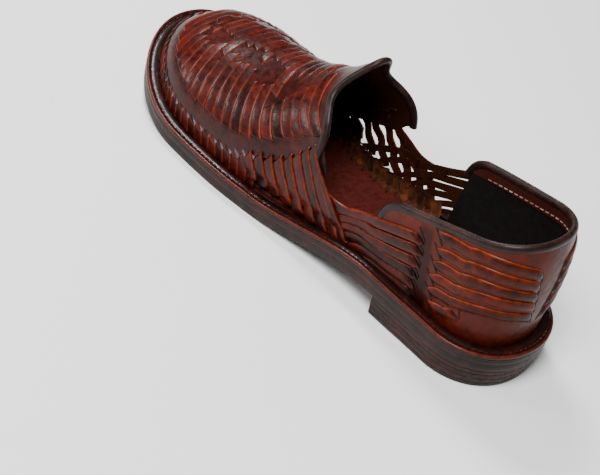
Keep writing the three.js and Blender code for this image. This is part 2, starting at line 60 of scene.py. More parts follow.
class Side(IntEnum):
    """Side of the shoe, with the sign of its y."""

    OUTER = 1
    INNER = -1


# ---------------------------------------------------------------- small helpers


def smooth(value: float | Array) -> float | Array:
    """Smooth step from 0 to 1 over the unit range.

    Args:
        value: one number or an array of them.

    Returns:
        The eased value, held at 0 and 1 outside the range.
    """
    u = np.clip(value, 0.0, 1.0)
    return u * u * (3 - 2 * u)


def unit(vectors: Array) -> Array:
    """Vectors of length one along the last axis of an array."""
    return vectors / (np.linalg.norm(vectors, axis=-1, keepdims=True) + 1e-12)


def curve(rows: Table, flat_ends: bool = False) -> Callable[[float | Array], Array]:
    """Cubic curve through rows of (x, value).

    Args:
        rows: the points it passes, in order of x.
        flat_ends: whether it is level at both ends.

    Returns:
        A function of x that holds its end values outside the rows.
    """
    xs = np.array([r[0] for r in rows], float)
    ys = np.array([r[1] for r in rows], float)
    last = len(xs) - 1
    slopes = np.zeros(len(xs))
    for i in range(len(xs)):
        a, b = max(i - 1, 0), min(i + 1, last)
        if not (flat_ends and i in (0, last)):
            slopes[i] = (ys[b] - ys[a]) / (xs[b] - xs[a])

    def at(x: float | Array) -> Array:
        """Value of the curve at x."""
        x = np.asarray(x, float)
        i = np.clip(np.searchsorted(xs, x, side="right") - 1, 0, last - 1)
        span = xs[i + 1] - xs[i]
        u = np.clip((x - xs[i]) / span, 0, 1)
        rise = ys[i + 1] - ys[i]
        bend = (1 - u) * (slopes[i] * span - rise) + u * (rise - slopes[i + 1] * span)
        return ys[i] + u * rise + u * (1 - u) * bend

    return at


def arc_length(points: Array) -> Array:
    """Length along a path up to each of its points."""
    return np.concatenate([[0], np.cumsum(np.linalg.norm(np.diff(points, axis=0), axis=1))])


def fine_ends(start: float, end: float, pitch: float) -> Array:
    """Values along a strap, with closer ones near both ends, where it dips under another.

    Args:
        start: the first value.
        end: the last value, which may be the smaller one.
        pitch: about how far the others stand apart.

    Returns:
        The values in order from start to end.
    """
    way = 1.0 if end > start else -1.0
    extra = np.array([0.6, 1.2, 1.8])
    clear = extra[-1] + extra[0]
    ends = np.concatenate([start + way * extra, end - way * extra])
    inner = np.linspace(start, end, max(3, int(math.ceil(abs(end - start) / pitch)) + 1))
    keep = (np.abs(inner - start) < 1e-6) | (np.abs(inner - end) < 1e-6)
    keep |= (np.abs(inner - start) > clear) & (np.abs(inner - end) > clear)
    values = np.concatenate([inner[keep], ends])
    values = values[(values - start) * way >= 0]
    values = values[(end - values) * way >= 0]
    return np.sort(values)[:: int(way)]


# ---------------------------------------------------------------- the last


@dataclass(frozen=True)
class Last:
    """Shoe last and sole outline, the same as in the part's solids.

    A station s runs over the widest toe at 1 and the heel's middle at 2, with the toe's tip at 0
    and the heel's back at 3. A level t runs up a section from the foot at 0 to the ridge at 1.
    """

    sole_length: float = 296.0
    gap: float = 0.3
    outsole: float = 4.6
    midsole: float = 3.5
    welt: float = 2.5
    insole: float = 2.8
    heel_height: float = 13.2
    heel_length: float = 75.0
    toe_spring: float = 17.0
    welt_width: float = 7.3
    wall: float = 2.2
    toe_x: float = 225.0
    toe_y: float = -6.0
    heel_x: float = 38.0
    heel_end: float = 77.0
    flat_start: float = 168.0
    flat_end: float = 217.0
    toe_fullness: tuple[float, float] = (1.95, 2.4)
    heel_fullness: float = 2.1
    toe_tip: tuple[float, float] = (1.4, 0.72)
    wall_lift: float = 0.5
    swell_scale: float = 45.56  # brings the greatest value of t^2 (1 - t)^4 to one
    outer: Table = ((38, 39.5), (70, 40.8), (100, 41.2), (130, 43.6), (160, 48), (190, 52),
                    (225, 53))
    inner: Table = ((38, 39.5), (70, 39), (100, 37.4), (130, 37.6), (160, 42.4), (190, 48.8),
                    (225, 54))
    ridge_y: Table = ((38, 0), (100, 0), (130, -1), (153, -2), (162, -2.5), (173, -3), (187, -4),
                      (206, -5), (225, -6))
    ridge_z: Table = ((38, 118), (100, 118), (130, 112), (153, 93), (162, 84), (173, 75.5),
                      (187, 66), (206, 58.5), (225, 54))
    swell: Table = ((38, 1.2), (100, 0.8), (130, 1), (153, 1.4), (162, 1.8), (173, 2.2),
                    (187, 2.4), (206, 2.4), (225, 2.4))
    flare: Table = ((38, 2), (100, 5), (130, 4), (153, 2.5), (162, 1.8), (173, 1), (187, 0.4),
                    (206, 0), (225, 0))
    shoulder: Table = ((38, 0.88), (100, 0.8), (130, 0.6), (153, 0.45), (162, 0.45), (173, 0.48),
                       (187, 0.53), (206, 0.57), (225, 0.61))
    curves: dict = field(default_factory=dict, compare=False)

    def __post_init__(self) -> None:
        """Makes the curves through the tables once."""
        for name in ("outer", "inner"):
            self.curves[name] = curve(getattr(self, name), flat_ends=True)
        for name in ("ridge_y", "ridge_z", "swell", "flare", "shoulder"):
            self.curves[name] = curve(getattr(self, name))

    @property
    def seat(self) -> float:
        """Height of the insole's underside over the tread."""
        return self.outsole + self.gap + self.midsole + self.gap

    @property
    def foot_inset(self) -> float:
        """How far the last's foot lies inside the sole's edge."""
        return self.welt_width + 2 * self.gap + self.wall

    def station(self, x: float | Array) -> float | Array:
        """Station of a section between the toe's and the heel's centres."""
        return 1 + (self.toe_x - x) / (self.toe_x - self.heel_x)

    def tread(self, x: Array) -> Array:
        """Height of the sole's underside over x."""
        u = (x - self.heel_end) / (self.flat_start - self.heel_end)
        shank = self.heel_height * (1 - u) ** 2 * (1 + 2 * u)
        toe = self.toe_spring * ((x - self.flat_end) / (self.sole_length - self.flat_end)) ** 2
        low = np.where(x <= self.flat_end, 0.0, toe)
        ahead = np.where(x < self.flat_start, shank, low)
        return np.where(x <= self.heel_end, self.heel_height, ahead)

    def section(self, s: Array, side: Array) -> tuple[Array, Array, Array, Array, Array]:
        """Plan of the section at a station.

        Args:
            s: stations.
            side: +1 for the outer side and -1 for the inner one.

        Returns:
            The section's centre x and y, its direction dx and dy, and the outline's reach.
        """
        s, side = np.broadcast_arrays(np.asarray(s, float), np.asarray(side, float))
        quarter = np.pi / 2
        angle = np.where(s < 1, s * quarter, np.where(s <= 2, quarter, (s - 1) * quarter))
        run = self.toe_x + (self.heel_x - self.toe_x) * (s - 1)
        x = np.where(s < 1, self.toe_x, np.where(s <= 2, run, self.heel_x))
        y = np.where(s < 1, self.toe_y, np.where(s <= 2, self.curves["ridge_y"](x), 0.0))
        cos, sin = np.abs(np.cos(angle)), np.abs(np.sin(angle))

        def half(at: float | Array) -> Array:
            """Half-width of the sole at x on each side."""
            return np.where(side > 0, self.curves["outer"](at), self.curves["inner"](at))

        across = half(self.toe_x) - side * self.toe_y
        power = np.where(side > 0, *self.toe_fullness)
        ahead = self.sole_length - self.toe_x
        toe = ((cos / ahead) ** power + (sin / across) ** power) ** (-1 / power)
        full = self.heel_fullness
        heel = ((cos / self.heel_x) ** full + (sin / half(self.heel_x)) ** full) ** (-1 / full)
        reach = np.where(s < 1, toe, np.where(s <= 2, half(x) - side * y, heel))
        dx = np.where((s >= 1) & (s <= 2), 0.0, np.cos(angle))
        return x, y, dx, side * np.sin(angle), reach

    def rim(self, s: Array, side: Array, inset: float | Array, height: float | Array) -> Array:
        """Points around the sole.

        Args:
            s: stations.
            side: +1 for the outer side and -1 for the inner one.
            inset: how far they lie inside the sole's edge.
            height: how far they lie over the tread.

        Returns:
            The points, in millimetres.
        """
        x, y, dx, dy, reach = self.section(s, side)
        px = x + dx * (reach - inset)
        return np.stack([px, y + dy * (reach - inset), self.tread(px) + height], -1)

    def point(self, s: Array, side: Array, t: Array) -> Array:
        """Points of the last's surface.

        Args:
            s: stations.
            side: +1 for the outer side and -1 for the inner one.
            t: levels.

        Returns:
            The points, in millimetres.
        """
        x, y, dx, dy, reach = self.section(s, side)
        s, side, t = np.broadcast_arrays(np.asarray(s, float), side, np.asarray(t, float))
        reach = reach - self.foot_inset
        foot = self.rim(s, side, self.foot_inset, self.seat)[..., 2]
        top = self.curves["ridge_z"](x)
        fade = np.where(s > 2, (3 - s) ** 2 * (2 * s - 3), 1.0)
        full = self.curves["swell"](x) + np.where(side < 0, self.curves["flare"](x) * fade, 0)
        out = np.where(s < 1, self.toe_tip[0] + (full - self.toe_tip[0]) * s, full)
        wide = self.curves["shoulder"](x)
        wide = np.where(s < 1, self.toe_tip[1] + (wide - self.toe_tip[1]) * s, wide)
        slope = (self.curves["ridge_z"](x) - self.curves["ridge_z"](x - 0.5)) / 0.5
        under = top + np.where(s < 1, slope * dx * reach * wide, 0)
        b0, b1, b2, b3 = (1 - t) ** 3, 3 * t * (1 - t) ** 2, 3 * t * t * (1 - t), t ** 3
        bulge = out * self.swell_scale * t ** 2 * (1 - t) ** 4
        r = b0 * reach + b1 * reach + b2 * reach * wide + bulge
        z = b0 * foot + b1 * (foot + self.wall_lift * (top - foot)) + b2 * under + b3 * top
        return np.stack([x + dx * r, y + dy * r, z], -1)

    def normal(self, s: Array, side: Array, t: Array) -> Array:
        """Unit vectors out of the last's surface.

        Args:
            s: stations.
            side: +1 for the outer side and -1 for the inner one.
            t: levels.

        Returns:
            One vector for each place.
        """
        step = 0.004
        s = np.clip(np.asarray(s, float), step, 3 - step)
        t = np.clip(np.asarray(t, float), 0, 1 - step)
        along = self.point(s + step, side, t) - self.point(s - step, side, t)
        up = self.point(s, side, t + step / 2) - self.point(s, side, np.maximum(t - step / 2, 0))
        n = unit(np.cross(along, up))
        _, _, dx, dy, _ = self.section(s, side)
        inwards = n[..., 0] * dx + n[..., 1] * dy + 0.2 * n[..., 2] < 0
        return np.where(inwards[..., None], -n, n)

    def skin(self, s: Array, side: Array, t: Array, offset: float | Array) -> Array:
        """Points off the last's surface by offset."""
        offset = np.asarray(offset, float)[..., None]
        return self.point(s, side, t) + self.normal(s, side, t) * offset

    def level(self, s: Array, side: Array, z: Array) -> Array:
        """Level at which the wall reaches a height, found by halving.

        Args:
            s: stations.
            side: +1 for the outer side and -1 for the inner one.
            z: heights over the floor.

        Returns:
            The levels, held between 0 and 1.
        """
        s, side, z = np.broadcast_arrays(np.asarray(s, float), side, np.asarray(z, float))
        low, high = np.zeros(s.shape), np.ones(s.shape)
        for _ in range(22):
            middle = (low + high) / 2
            below = self.point(s, side, middle)[..., 2] < z
            low, high = np.where(below, middle, low), np.where(below, high, middle)
        return low


LAST = Last()
SHIFT = np.array([-LAST.sole_length / 2, (LAST.inner[-1][1] - LAST.outer[-1][1]) / 2, 0.0])


def to_frame(points: Array) -> Array:
    """Points of the last's frame, in millimetres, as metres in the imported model's frame."""
    return (np.asarray(points, float) + SHIFT) / 1000


@dataclass(frozen=True)
class Unrolled:
    """Vamp laid flat: u runs along the ridge and down the toe, w is the arc away from the ridge.

    The throat is where the vamp ends at the back. Its foot leans back on both sides, and its
    middle is hollowed towards the toe.
    """

    last: Last = LAST
    throat: float = 148.0
    outer_lean: float = 6.0
    inner_lean: float = 17.0
    hollow: float = 11.0
    hollow_foot: float = 0.35
    counter_front: float = 91.0
    tables: dict = field(default_factory=dict, compare=False)

    def __post_init__(self) -> None:
        """Measures the arc from the ridge down each section."""
        stations = np.linspace(0, 1.8, 181)
        levels = np.linspace(0, 1, 81)
        for side in Side:
            grid = self.last.point(stations[:, None], side, levels[None, :])
            pieces = np.linalg.norm(np.diff(grid, axis=1), axis=-1)
            run = np.concatenate([np.zeros((len(stations), 1)), np.cumsum(pieces, 1)], 1)
            self.tables[side] = (stations, levels, run[:, -1:] - run)

    def total(self, s: float, side: Side) -> float:
        """Arc from the ridge to the foot at a station."""
        stations, _, arcs = self.tables[side]
        return float(np.interp(s, stations, arcs[:, 0]))

    def locate(self, u: float, w: float) -> tuple[float, Side, float]:
        """Station, side and arc of a place on the flat vamp."""
        side = Side.OUTER if w >= 0 else Side.INNER
        if u <= self.last.toe_x:
            return float(self.last.station(u)), side, abs(w)
        along, across = u - self.last.toe_x, abs(w)
        return math.atan2(across, along) / (math.pi / 2), side, math.hypot(along, across)

    def level(self, s: float, side: Side, arc: float) -> float:
        """Level on a section that lies an arc away from the ridge.

        Args:
            s: station of the section.
            side: side of the shoe.
            arc: length down from the ridge.

        Returns:
            The level, between those of the two measured sections around it.
        """
        stations, levels, arcs = self.tables[side]
        step = stations[1] - stations[0]
        i = min(max(int(s / step), 0), len(stations) - 2)
        part = s / step - i
        a = np.interp(arc, arcs[i][::-1], levels[::-1])
        b = np.interp(arc, arcs[i + 1][::-1], levels[::-1])
        return float(a + (b - a) * part)

    def foot_distance(self, u: float, w: float) -> float:
        """Arc from a place down to the foot."""
        s, side, arc = self.locate(u, w)
        return self.total(s, side) - arc

    def points(self, path: Iterable[tuple[float, float]], offset: float) -> tuple[Array, Array]:
        """Lifts a path off the flat vamp.

        Args:
            path: its (u, w) places.
            offset: how far it lies off the last.

        Returns:
            Its points and the last's normals there.
        """
        found = []
        for u, w in path:
            s, side, arc = self.locate(u, w)
            found.append((s, side, self.level(s, side, arc)))
        s, side, t = (np.array(c, float) for c in zip(*found))
        return self.last.skin(s, side, t, offset), self.last.normal(s, side, t)

    def leaning(self, x: Array, t: Array, side: Side) -> Array:
        """Lets section lines lean and hollow around the throat.

        Args:
            x: where each line stands on the ridge.
            t: levels up the line.
            side: side of the shoe.

        Returns:
            Where the line lies at those levels.
        """
        ahead = (self.last.toe_x - x) / (self.last.toe_x - self.throat)
        behind = (x - self.counter_front) / (self.throat - self.counter_front)
        fade = np.clip(np.where(x > self.throat, ahead, behind), 0, 1)
        back = (self.outer_lean if side > 0 else self.inner_lean) * (1 - t)
        up = np.clip((t - self.hollow_foot) / (1 - self.hollow_foot), 0, 1)
        return x + (self.hollow * np.sin(np.pi * up) ** 2 - back) * fade


VAMP = Unrolled()


# ---------------------------------------------------------------- meshes


@dataclass
class Hide:
    """Leather mesh in the making: vertices, faces and what the finishes read at each vertex.

    The marks are the tint of the dye, how much a vertex lies on a cut edge or a painted highlight
    line, how much dark wax and painted shade it takes, and whether it lies on the flesh side.
    """

    name: str
    points: list[Array] = field(default_factory=list)
    faces: list[tuple[int, ...]] = field(default_factory=list)
    marks: dict[str, list[Array]] = field(
        default_factory=lambda: {k: [] for k in MARKS}
    )
    count: int = 0

    def add(self, points: Array, faces: Iterable[Sequence[int]], **marks: float | Array) -> None:
        """Adds a patch of mesh.

        Args:
            points: its vertices, in millimetres.
            faces: faces over those vertices.
            **marks: values at the vertices of tint, edge, shade and flesh.
        """
        points = np.asarray(points, float).reshape(-1, 3)
        self.points.append(points)
        self.faces.extend(tuple(int(i) + self.count for i in f) for f in faces)
        for key, values in self.marks.items():
            given = np.asarray(marks.get(key, 0.0), float)
            values.append(np.broadcast_to(given, (len(points),)).astype(np.float32))
        self.count += len(points)

    def build(self, slot: str, finish: "Finish", smooth_angle: float = 40.0) -> bpy.types.Object:
        """Makes the Blender object, on the shoe's one body.

        Args:
            slot: not used.
            finish: the finish of the whole piece.
            smooth_angle: the angle in degrees above which an edge stays sharp.

        Returns:
            The new object.
        """
        mesh = bpy.data.meshes.new(self.name)
        mesh.from_pydata(to_frame(np.concatenate(self.points)).tolist(), [], self.faces)
        for key, values in self.marks.items():
            attribute = mesh.attributes.new(key, "FLOAT", "POINT")
            attribute.data.foreach_set("value", np.concatenate(values))
        mesh.validate()
        mesh.shade_smooth()
        mesh.set_sharp_from_angle(angle=math.radians(smooth_angle))
        mesh.update()
        piece = bpy.data.objects.new(self.name, mesh)
        bpy.context.scene.collection.objects.link(piece)
        mesh.materials.append(finish.material())
        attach(piece, "root")
        return piece


def ring_faces(rings: int, around: int, closed: bool = False) -> list[tuple[int, ...]]:
    """Quads between rings of vertices.

    Args:
        rings: how many rings.
        around: vertices in each ring.
        closed: whether the last ring joins the first, without which both ends get a cap.

    Returns:
        Faces that look outwards when the rings turn left along the way.
    """
    faces: list[tuple[int, ...]] = []
    for i in range(rings if closed else rings - 1):
        a, b = i * around, ((i + 1) % rings) * around
        for j in range(around):
            k = (j + 1) % around
            faces.append((a + j, b + j, b + k, a + k))
    if not closed:
        faces.append(tuple(range(around)))
        faces.append(tuple(reversed(range((rings - 1) * around, rings * around))))
    return faces


def frames(points: Array, normals: Array, closed: bool = False) -> tuple[Array, Array, Array]:
    """Directions along a path.

    Args:
        points: the path.
        normals: the surface's normals there.
        closed: whether the path is a loop.

    Returns:
        Unit vectors along, across and up from the surface.
    """
    if closed:
        along = unit(np.roll(points, -1, 0) - np.roll(points, 1, 0))
    else:
        along = unit(np.gradient(points, axis=0))
    across = unit(np.cross(normals, along))
    return along, across, unit(np.cross(along, across))


# Cross-section of a cut strap: place across, height, how much it is a cut edge, flesh side.
STRAP_SECTION = np.array([
    (-1.00, 0.00, 0.6, 1.0), (-1.02, 0.55, 1.0, 0.0), (-0.94, 0.90, 1.0, 0.0),
    (-0.78, 1.02, 0.25, 0.0), (-0.40, 1.06, 0.0, 0.0), (0.00, 1.08, 0.0, 0.0),
    (0.40, 1.06, 0.0, 0.0), (0.78, 1.02, 0.25, 0.0), (0.94, 0.90, 1.0, 0.0),
    (1.02, 0.55, 1.0, 0.0), (1.00, 0.00, 0.6, 1.0), (0.00, -0.05, 0.0, 1.0),
])


@dataclass(frozen=True)
class Cut:
    """How one strap is cut and laid, in millimetres, with pairs for its start and its end.

    The tuck is how deep an end goes under, over the tuck's length. The skew slants the cut ends,
    the tilt raises one edge over the next strap, and the crown bows the middle up. The taper is
    a share of the width, and the point is the length over which an end is cut to a point.
    """

    width: float
    thick: float = 1.4
    lift: float = 0.0
    tuck: tuple[float, float] = (0.0, 0.0)
    tuck_length: float = 3.0
    skew: tuple[float, float] = (0.0, 0.0)
    tilt: float = 0.0
    tint: float = 0.5
    shade: float = 0.0
    taper: tuple[float, float] = (1.0, 1.0)
    point: tuple[float, float] = (0.0, 0.0)
    crown: float = 0.0


def lay_strap(hide: Hide, points: Array, normals: Array, cut: Cut) -> None:
    """Lays one closed strap along a path on the last.

    Args:
        hide: the mesh that takes it.
        points: its centre line on the surface.
        normals: the surface's normals there.
        cut: its sizes, the tuck of both ends under the base, their slant and its marks.
    """
    along, across, up = frames(points, normals)
    run = arc_length(points)
    from_start, from_end = run, run[-1] - run
    sunk = cut.tuck[0] * (1 - smooth(from_start / cut.tuck_length))
    sunk = sunk + cut.tuck[1] * (1 - smooth(from_end / cut.tuck_length))
    reach = max(run[-1] * 0.45, 1e-6)
    slant = cut.skew[0] * (1 - smooth(from_start / reach))
    slant = slant + cut.skew[1] * (1 - smooth(from_end / reach))
    share = run / max(run[-1], 1e-6)
    half = cut.width / 2 * (cut.taper[0] + (cut.taper[1] - cut.taper[0]) * share)
    for length, away in zip(cut.point, (from_start, from_end)):
        if length > 0:
            half = half * (0.12 + 0.88 * np.clip(away / length, 0, 1))
    b, h, edge, flesh = STRAP_SECTION.T
    rows = (
        points[:, None, :]
        + across[:, None, :] * (half[:, None] * b[None, :])[..., None]
        + along[:, None, :] * (slant[:, None] * b[None, :])[..., None]
        + up[:, None, :] * ((cut.lift - sunk)[:, None] + cut.thick * h[None, :]
                            + cut.crown * (h * (1 - b ** 2))[None, :]
                            + cut.tilt * b[None, :])[..., None]
    )
    # Painted shade: each end darkens over its last 1.9 mm, and its cut edges dim, where it goes
    # under the next strap or into a slit.
    ends = np.maximum(1 - from_start / 1.9, 1 - from_end / 1.9).clip(0, 1)
    dark = np.clip(cut.shade + 0.75 * ends, 0, 1)
    hide.add(
        rows,
        ring_faces(len(points), len(b)),
        tint=cut.tint,
        edge=(edge[None, :] * (1 - 0.6 * ends[:, None])).ravel(),
        shade=np.repeat(dark, len(b)),
        flesh=np.tile(flesh, len(points)),
    )


def lay_tube(
    hide: Hide, points: Array, normals: Array, wide: float, high: float, sides: int = 12,
    closed: bool = False, **marks: float,
) -> None:
    """Lays an oval tube along a path.

    Args:
        hide: the mesh that takes it.
        points: its centre line.
        normals: which way its height stands.
        wide: its width.
        high: its height.
        sides: faces around it.
        closed: whether the path is a loop.
        **marks: values for every vertex.
    """
    _, across, up = frames(points, normals, closed)
    angle = 2 * np.pi * np.arange(sides) / sides
    rings = (
        points[:, None, :]
        + across[:, None, :] * (np.cos(angle) * wide / 2)[None, :, None]
        + up[:, None, :] * (np.sin(angle) * high / 2)[None, :, None]
    )
    faces = [tuple(reversed(f)) for f in ring_faces(len(points), sides, closed)]
    hide.add(rings, faces, **marks)


def lay_shell(
    hide: Hide, outer: Array, inner: Array, closed: bool = False,
    marks: dict[str, Array] | None = None,
) -> None:
    """Adds a closed shell between two grids of the same shape.

    Args:
        hide: the mesh that takes it.
        outer: the outside grid, rows by columns by three.
        inner: the inside grid.
        closed: whether the rows join up as a loop.
        marks: values over the grid, the same on both faces.
    """
    n, m = outer.shape[:2]
    faces: list[tuple[int, ...]] = []
    inside = n * m
    for i in range(n if closed else n - 1):
        k = (i + 1) % n
        for j in range(m - 1):
            a, b, c, d = i * m + j, k * m + j, k * m + j + 1, i * m + j + 1
            faces.append((a, b, c, d))
            faces.append((inside + d, inside + c, inside + b, inside + a))
        for j, turn in ((0, 1), (m - 1, -1)):
            a, b = i * m + j, k * m + j
            faces.append((a, inside + a, inside + b, b)[::turn])
    if not closed:
        for i, turn in ((0, -1), (n - 1, 1)):
            for j in range(m - 1):
                a, b = i * m + j, i * m + j + 1
                faces.append((a, inside + a, inside + b, b)[::turn])
    values = {k: np.concatenate([v.ravel(), v.ravel()]) for k, v in (marks or {}).items()}
    values["flesh"] = np.concatenate([np.zeros(n * m), np.ones(n * m)])
    hide.add(np.concatenate([outer.reshape(-1, 3), inner.reshape(-1, 3)]), faces, **values)


def lay_stitches(
    hide: Hide, points: Array, normals: Array, pitch: float, length: float, thick: float
) -> None:
    """Sews a row of separate stitches, each sinking into the leather at its ends.

    Args:
        hide: the mesh that takes them.
        points: the seam's path.
        normals: the leather's normals there.
        pitch: distance from stitch to stitch.
        length: length of one stitch.
        thick: thickness of the thread.
    """
    run = arc_length(points)
    for start in np.arange(pitch / 2, run[-1] - length, pitch):
        at = start + np.array([0, 0.18, 0.5, 0.82, 1]) * length
        p = np.stack([np.interp(at, run, points[:, k]) for k in range(3)], 1)
        n = unit(np.stack([np.interp(at, run, normals[:, k]) for k in range(3)], 1))
        p = p + n * (np.array([-0.5, 0.15, 0.3, 0.15, -0.5]) * thick)[:, None]
        lay_tube(hide, p, n, thick, thick, sides=6)


# ---------------------------------------------------------------- finishes


def dye(code: str) -> tuple[float, float, float, float]:
    """Linear colour of an sRGB hex value."""
    channels = [int(code[i:i + 2], 16) / 255 for i in (1, 3, 5)]
    linear = [c / 12.92 if c <= 0.04045 else ((c + 0.055) / 1.055) ** 2.4 for c in channels]
    return (*linear, 1.0)


def add_node(
    tree: bpy.types.NodeTree, kind: str, settings: dict | None = None, inputs: dict | None = None,
    stops: Sequence[tuple[float, tuple]] = (),
) -> bpy.types.Node:
    """Adds a node with its settings and links.

    Args:
        tree: the node tree.
        kind: the node's type name.
        settings: properties of the node by name.
        inputs: by socket name or number, a value or the socket that feeds it.
        stops: places and colours along it, where the node has a ramp.

    Returns:
        The new node.
    """
    node = tree.nodes.new(kind)
    for key, value in (settings or {}).items():
        setattr(node, key, value)
    for key, value in (inputs or {}).items():
        if isinstance(value, Socket):
            tree.links.new(value, node.inputs[key])
        else:
            node.inputs[key].default_value = value
    if stops:
        elements = node.color_ramp.elements
        while len(elements) < len(stops):
            elements.new(0.5)
        for element, (place, colour) in zip(elements, stops):
            element.position = place
            element.color = colour
    return node


def per_metre(size_mm: float) -> float:
    """Texture scale that repeats about every size_mm on an object in metres."""
    return 1000.0 / size_mm


@dataclass(frozen=True)
class Finish:
    """Full-grain cowhide, dyed by hand, antiqued with a dark wax and then polished.

    The dye gives cloudy patches from deep to bright mahogany, the wax darkens some pieces at random
    and a band on the counter, painted shade darkens the tucked ends, the welt's channel and joins,
    the heel's grooves and the counter's foot, the cut edges show lighter, a painted highlight
    lights the top edges of the sole's layers and the welt's lip, and the polish gives a clear coat.
    The patch, streak, grain and fold are sizes in millimetres. Real pores stand about 0.2 mm
    apart, too fine to show, so the grain is drawn two or three times as coarse.
    """

    name: str
    deep: str
    body: str
    bright: str
    edge: str
    raw: str = "#2e150b"
    # Colour multiplied in by the shade mark: dark wax, and painted shade at tucked ends, grooves
    # and joins.
    wax_and_shade: str = "#6e443c"
    patch: float = 11.0
    streak: float = 3.2
    grain: float = 0.55
    grain_depth: float = 0.12
    fold: float = 4.5
    fold_depth: float = 0.6
    roughness: float = 0.34
    refraction: float = 1.5
    shine: float = 0.16
    coat: float = 0.07
    coat_roughness: float = 0.14
    contrast: float = 0.5
    middle: float = 0.61
    edge_share: float = 0.8

    def _noise(self, tree: bpy.types.NodeTree, size: float, detail: float, rough: float) -> Socket:
        """Cloud pattern on the piece itself, with clouds about size millimetres wide."""
        place = add_node(tree, "ShaderNodeTexCoord").outputs["Object"]
        return add_node(tree, "ShaderNodeTexNoise", None, {
            "Vector": place, "Scale": per_metre(size), "Detail": detail, "Roughness": rough,
        }).outputs["Fac"]

    def _colour(self, tree: bpy.types.NodeTree, streaks: Socket) -> Socket:
        """Dyes the leather, lightens its cut edges and its painted highlight lines, and darkens it
        with wax and painted shade.

        Args:
            tree: the node tree.
            streaks: pattern of the dye's fine streaks.

        Returns:
            The colour.
        """
        marks = {
            k: add_node(tree, "ShaderNodeAttribute", {"attribute_name": k}).outputs["Fac"]
            for k in MARKS
        }
        patches = self._noise(tree, self.patch, 5.0, 0.62)
        cloud: Socket | float = 0.0
        for layer, share in ((patches, 0.65), (streaks, 0.35), (marks["tint"], 0.22)):
            cloud = add_node(tree, "ShaderNodeMath", {"operation": "MULTIPLY_ADD"}, {
                0: layer, 1: share, 2: cloud,
            }).outputs[0]
        spread = self.contrast * 0.28
        tone = add_node(tree, "ShaderNodeValToRGB", None, {"Fac": cloud}, (
            (self.middle - spread, dye(self.deep)), (self.middle, dye(self.body)),
            (self.middle + spread, dye(self.bright)),
        )).outputs["Color"]
        rubbed = add_node(tree, "ShaderNodeMapRange", None, {
            "Value": streaks, "From Min": 0.3, "From Max": 0.62, "To Min": 0.35, "To Max": 1.1,
        }).outputs[0]
        # Cut edges lighten here, and so do the painted highlight lines on the sole's layers and the
        # welt's lip.
        edge_wear_and_highlight = add_node(tree, "ShaderNodeMath", {"operation": "MULTIPLY"}, {
            0: marks["edge"], 1: self.edge_share,
        }).outputs[0]
        edge_wear_and_highlight = add_node(tree, "ShaderNodeMath", {"operation": "MULTIPLY", "use_clamp": True}, {
            0: edge_wear_and_highlight, 1: rubbed,
        }).outputs[0]
        colour = tone
        for share, over, blend in (
            (edge_wear_and_highlight, self.edge, "MIX"), (marks["shade"], self.wax_and_shade, "MULTIPLY"),
            (marks["flesh"], self.raw, "MIX"),
        ):
            colour = add_node(tree, "ShaderNodeMix", {"data_type": "RGBA", "blend_type": blend}, {
                0: share, 6: colour, 7: dye(over),
            }).outputs[2]
        return colour

    def material(self) -> bpy.types.Material:
        """The finish as a node material, made once and then shared."""
        made = bpy.data.materials.get(self.name)
        if made:
            return made
        made = bpy.data.materials.new(self.name)
        made.use_nodes = True
        tree = made.node_tree
        tree.nodes.clear()
        streaks = self._noise(tree, self.streak, 3.0, 0.6)
        folds = add_node(tree, "ShaderNodeBump", None, {
            "Height": self._noise(tree, self.fold, 2.0, 0.5), "Strength": 0.35,
            "Distance": self.fold_depth / 1000,
        }).outputs["Normal"]
        pores = add_node(tree, "ShaderNodeBump", None, {
            "Height": self._noise(tree, self.grain * 2, 4.0, 0.7), "Strength": 0.6,
            "Distance": self.grain_depth / 1000, "Normal": folds,
        }).outputs["Normal"]
        rough = add_node(tree, "ShaderNodeMapRange", None, {
            "Value": streaks, "From Min": 0.3, "From Max": 0.7,
            "To Min": self.roughness - 0.08, "To Max": self.roughness + 0.12,
        }).outputs[0]
        shader = add_node(tree, "ShaderNodeBsdfPrincipled", None, {
            "Base Color": self._colour(tree, streaks), "Roughness": rough, "Normal": pores,
            "IOR": self.refraction, "Specular IOR Level": self.shine,
            "Coat Weight": self.coat, "Coat Roughness": self.coat_roughness, "Coat Normal": folds,
        })
        add_node(tree, "ShaderNodeOutputMaterial", None, {"Surface": shader.outputs[0]})
        return made


# Cut straps, antiqued and polished: bright mahogany crowns, dark valleys, with painted shade
# where the ends tuck under, and a soft gloss.
STRAP = Finish("polished_strap_cowhide", "#180503", "#360a05", "#501208", "#7e2c12")

# The vamp's base and border band, the same hide laid flat: a shade darker, with more gloss.
BASE = Finish("polished_vamp_cowhide", "#1a0504", "#310a06", "#481008", "#6e2810", coat=0.1)

# Thick counter leather, rubbed by hand: wide clouds of orange brown with a softer gloss.
COUNTER = Finish("polished_counter_cowhide", "#2c0904", "#461206", "#5c1a08", "#7c2f0d",
                 patch=24.0, shine=0.12, coat=0.05, coat_roughness=0.2, contrast=0.7)

# Ribs with the wax wiped off their crowns: the lightest edges of the whole shoe.
RIB = Finish("antiqued_rib_cowhide", "#1e0805", "#3c0e06", "#561a09", "#843411",
             patch=9.0, edge_share=0.9, shine=0.12, coat=0.04)

# Calf folded around a cord: dark brown, even and satin.
BINDING = Finish("folded_calf_binding", "#140a08", "#221210", "#341c16", "#3c221a", raw="#221210",
                 patch=14.0, roughness=0.42, coat=0.1, coat_roughness=0.25)

# Pigskin, smooth and dyed black: the inside stays dark and matt.
LINING = Finish("smooth_pigskin_lining", "#070606", "#0b0a08", "#12100d", "#1c1410", raw="#0c0a09",
                roughness=0.6, shine=0.2, coat=0.0)

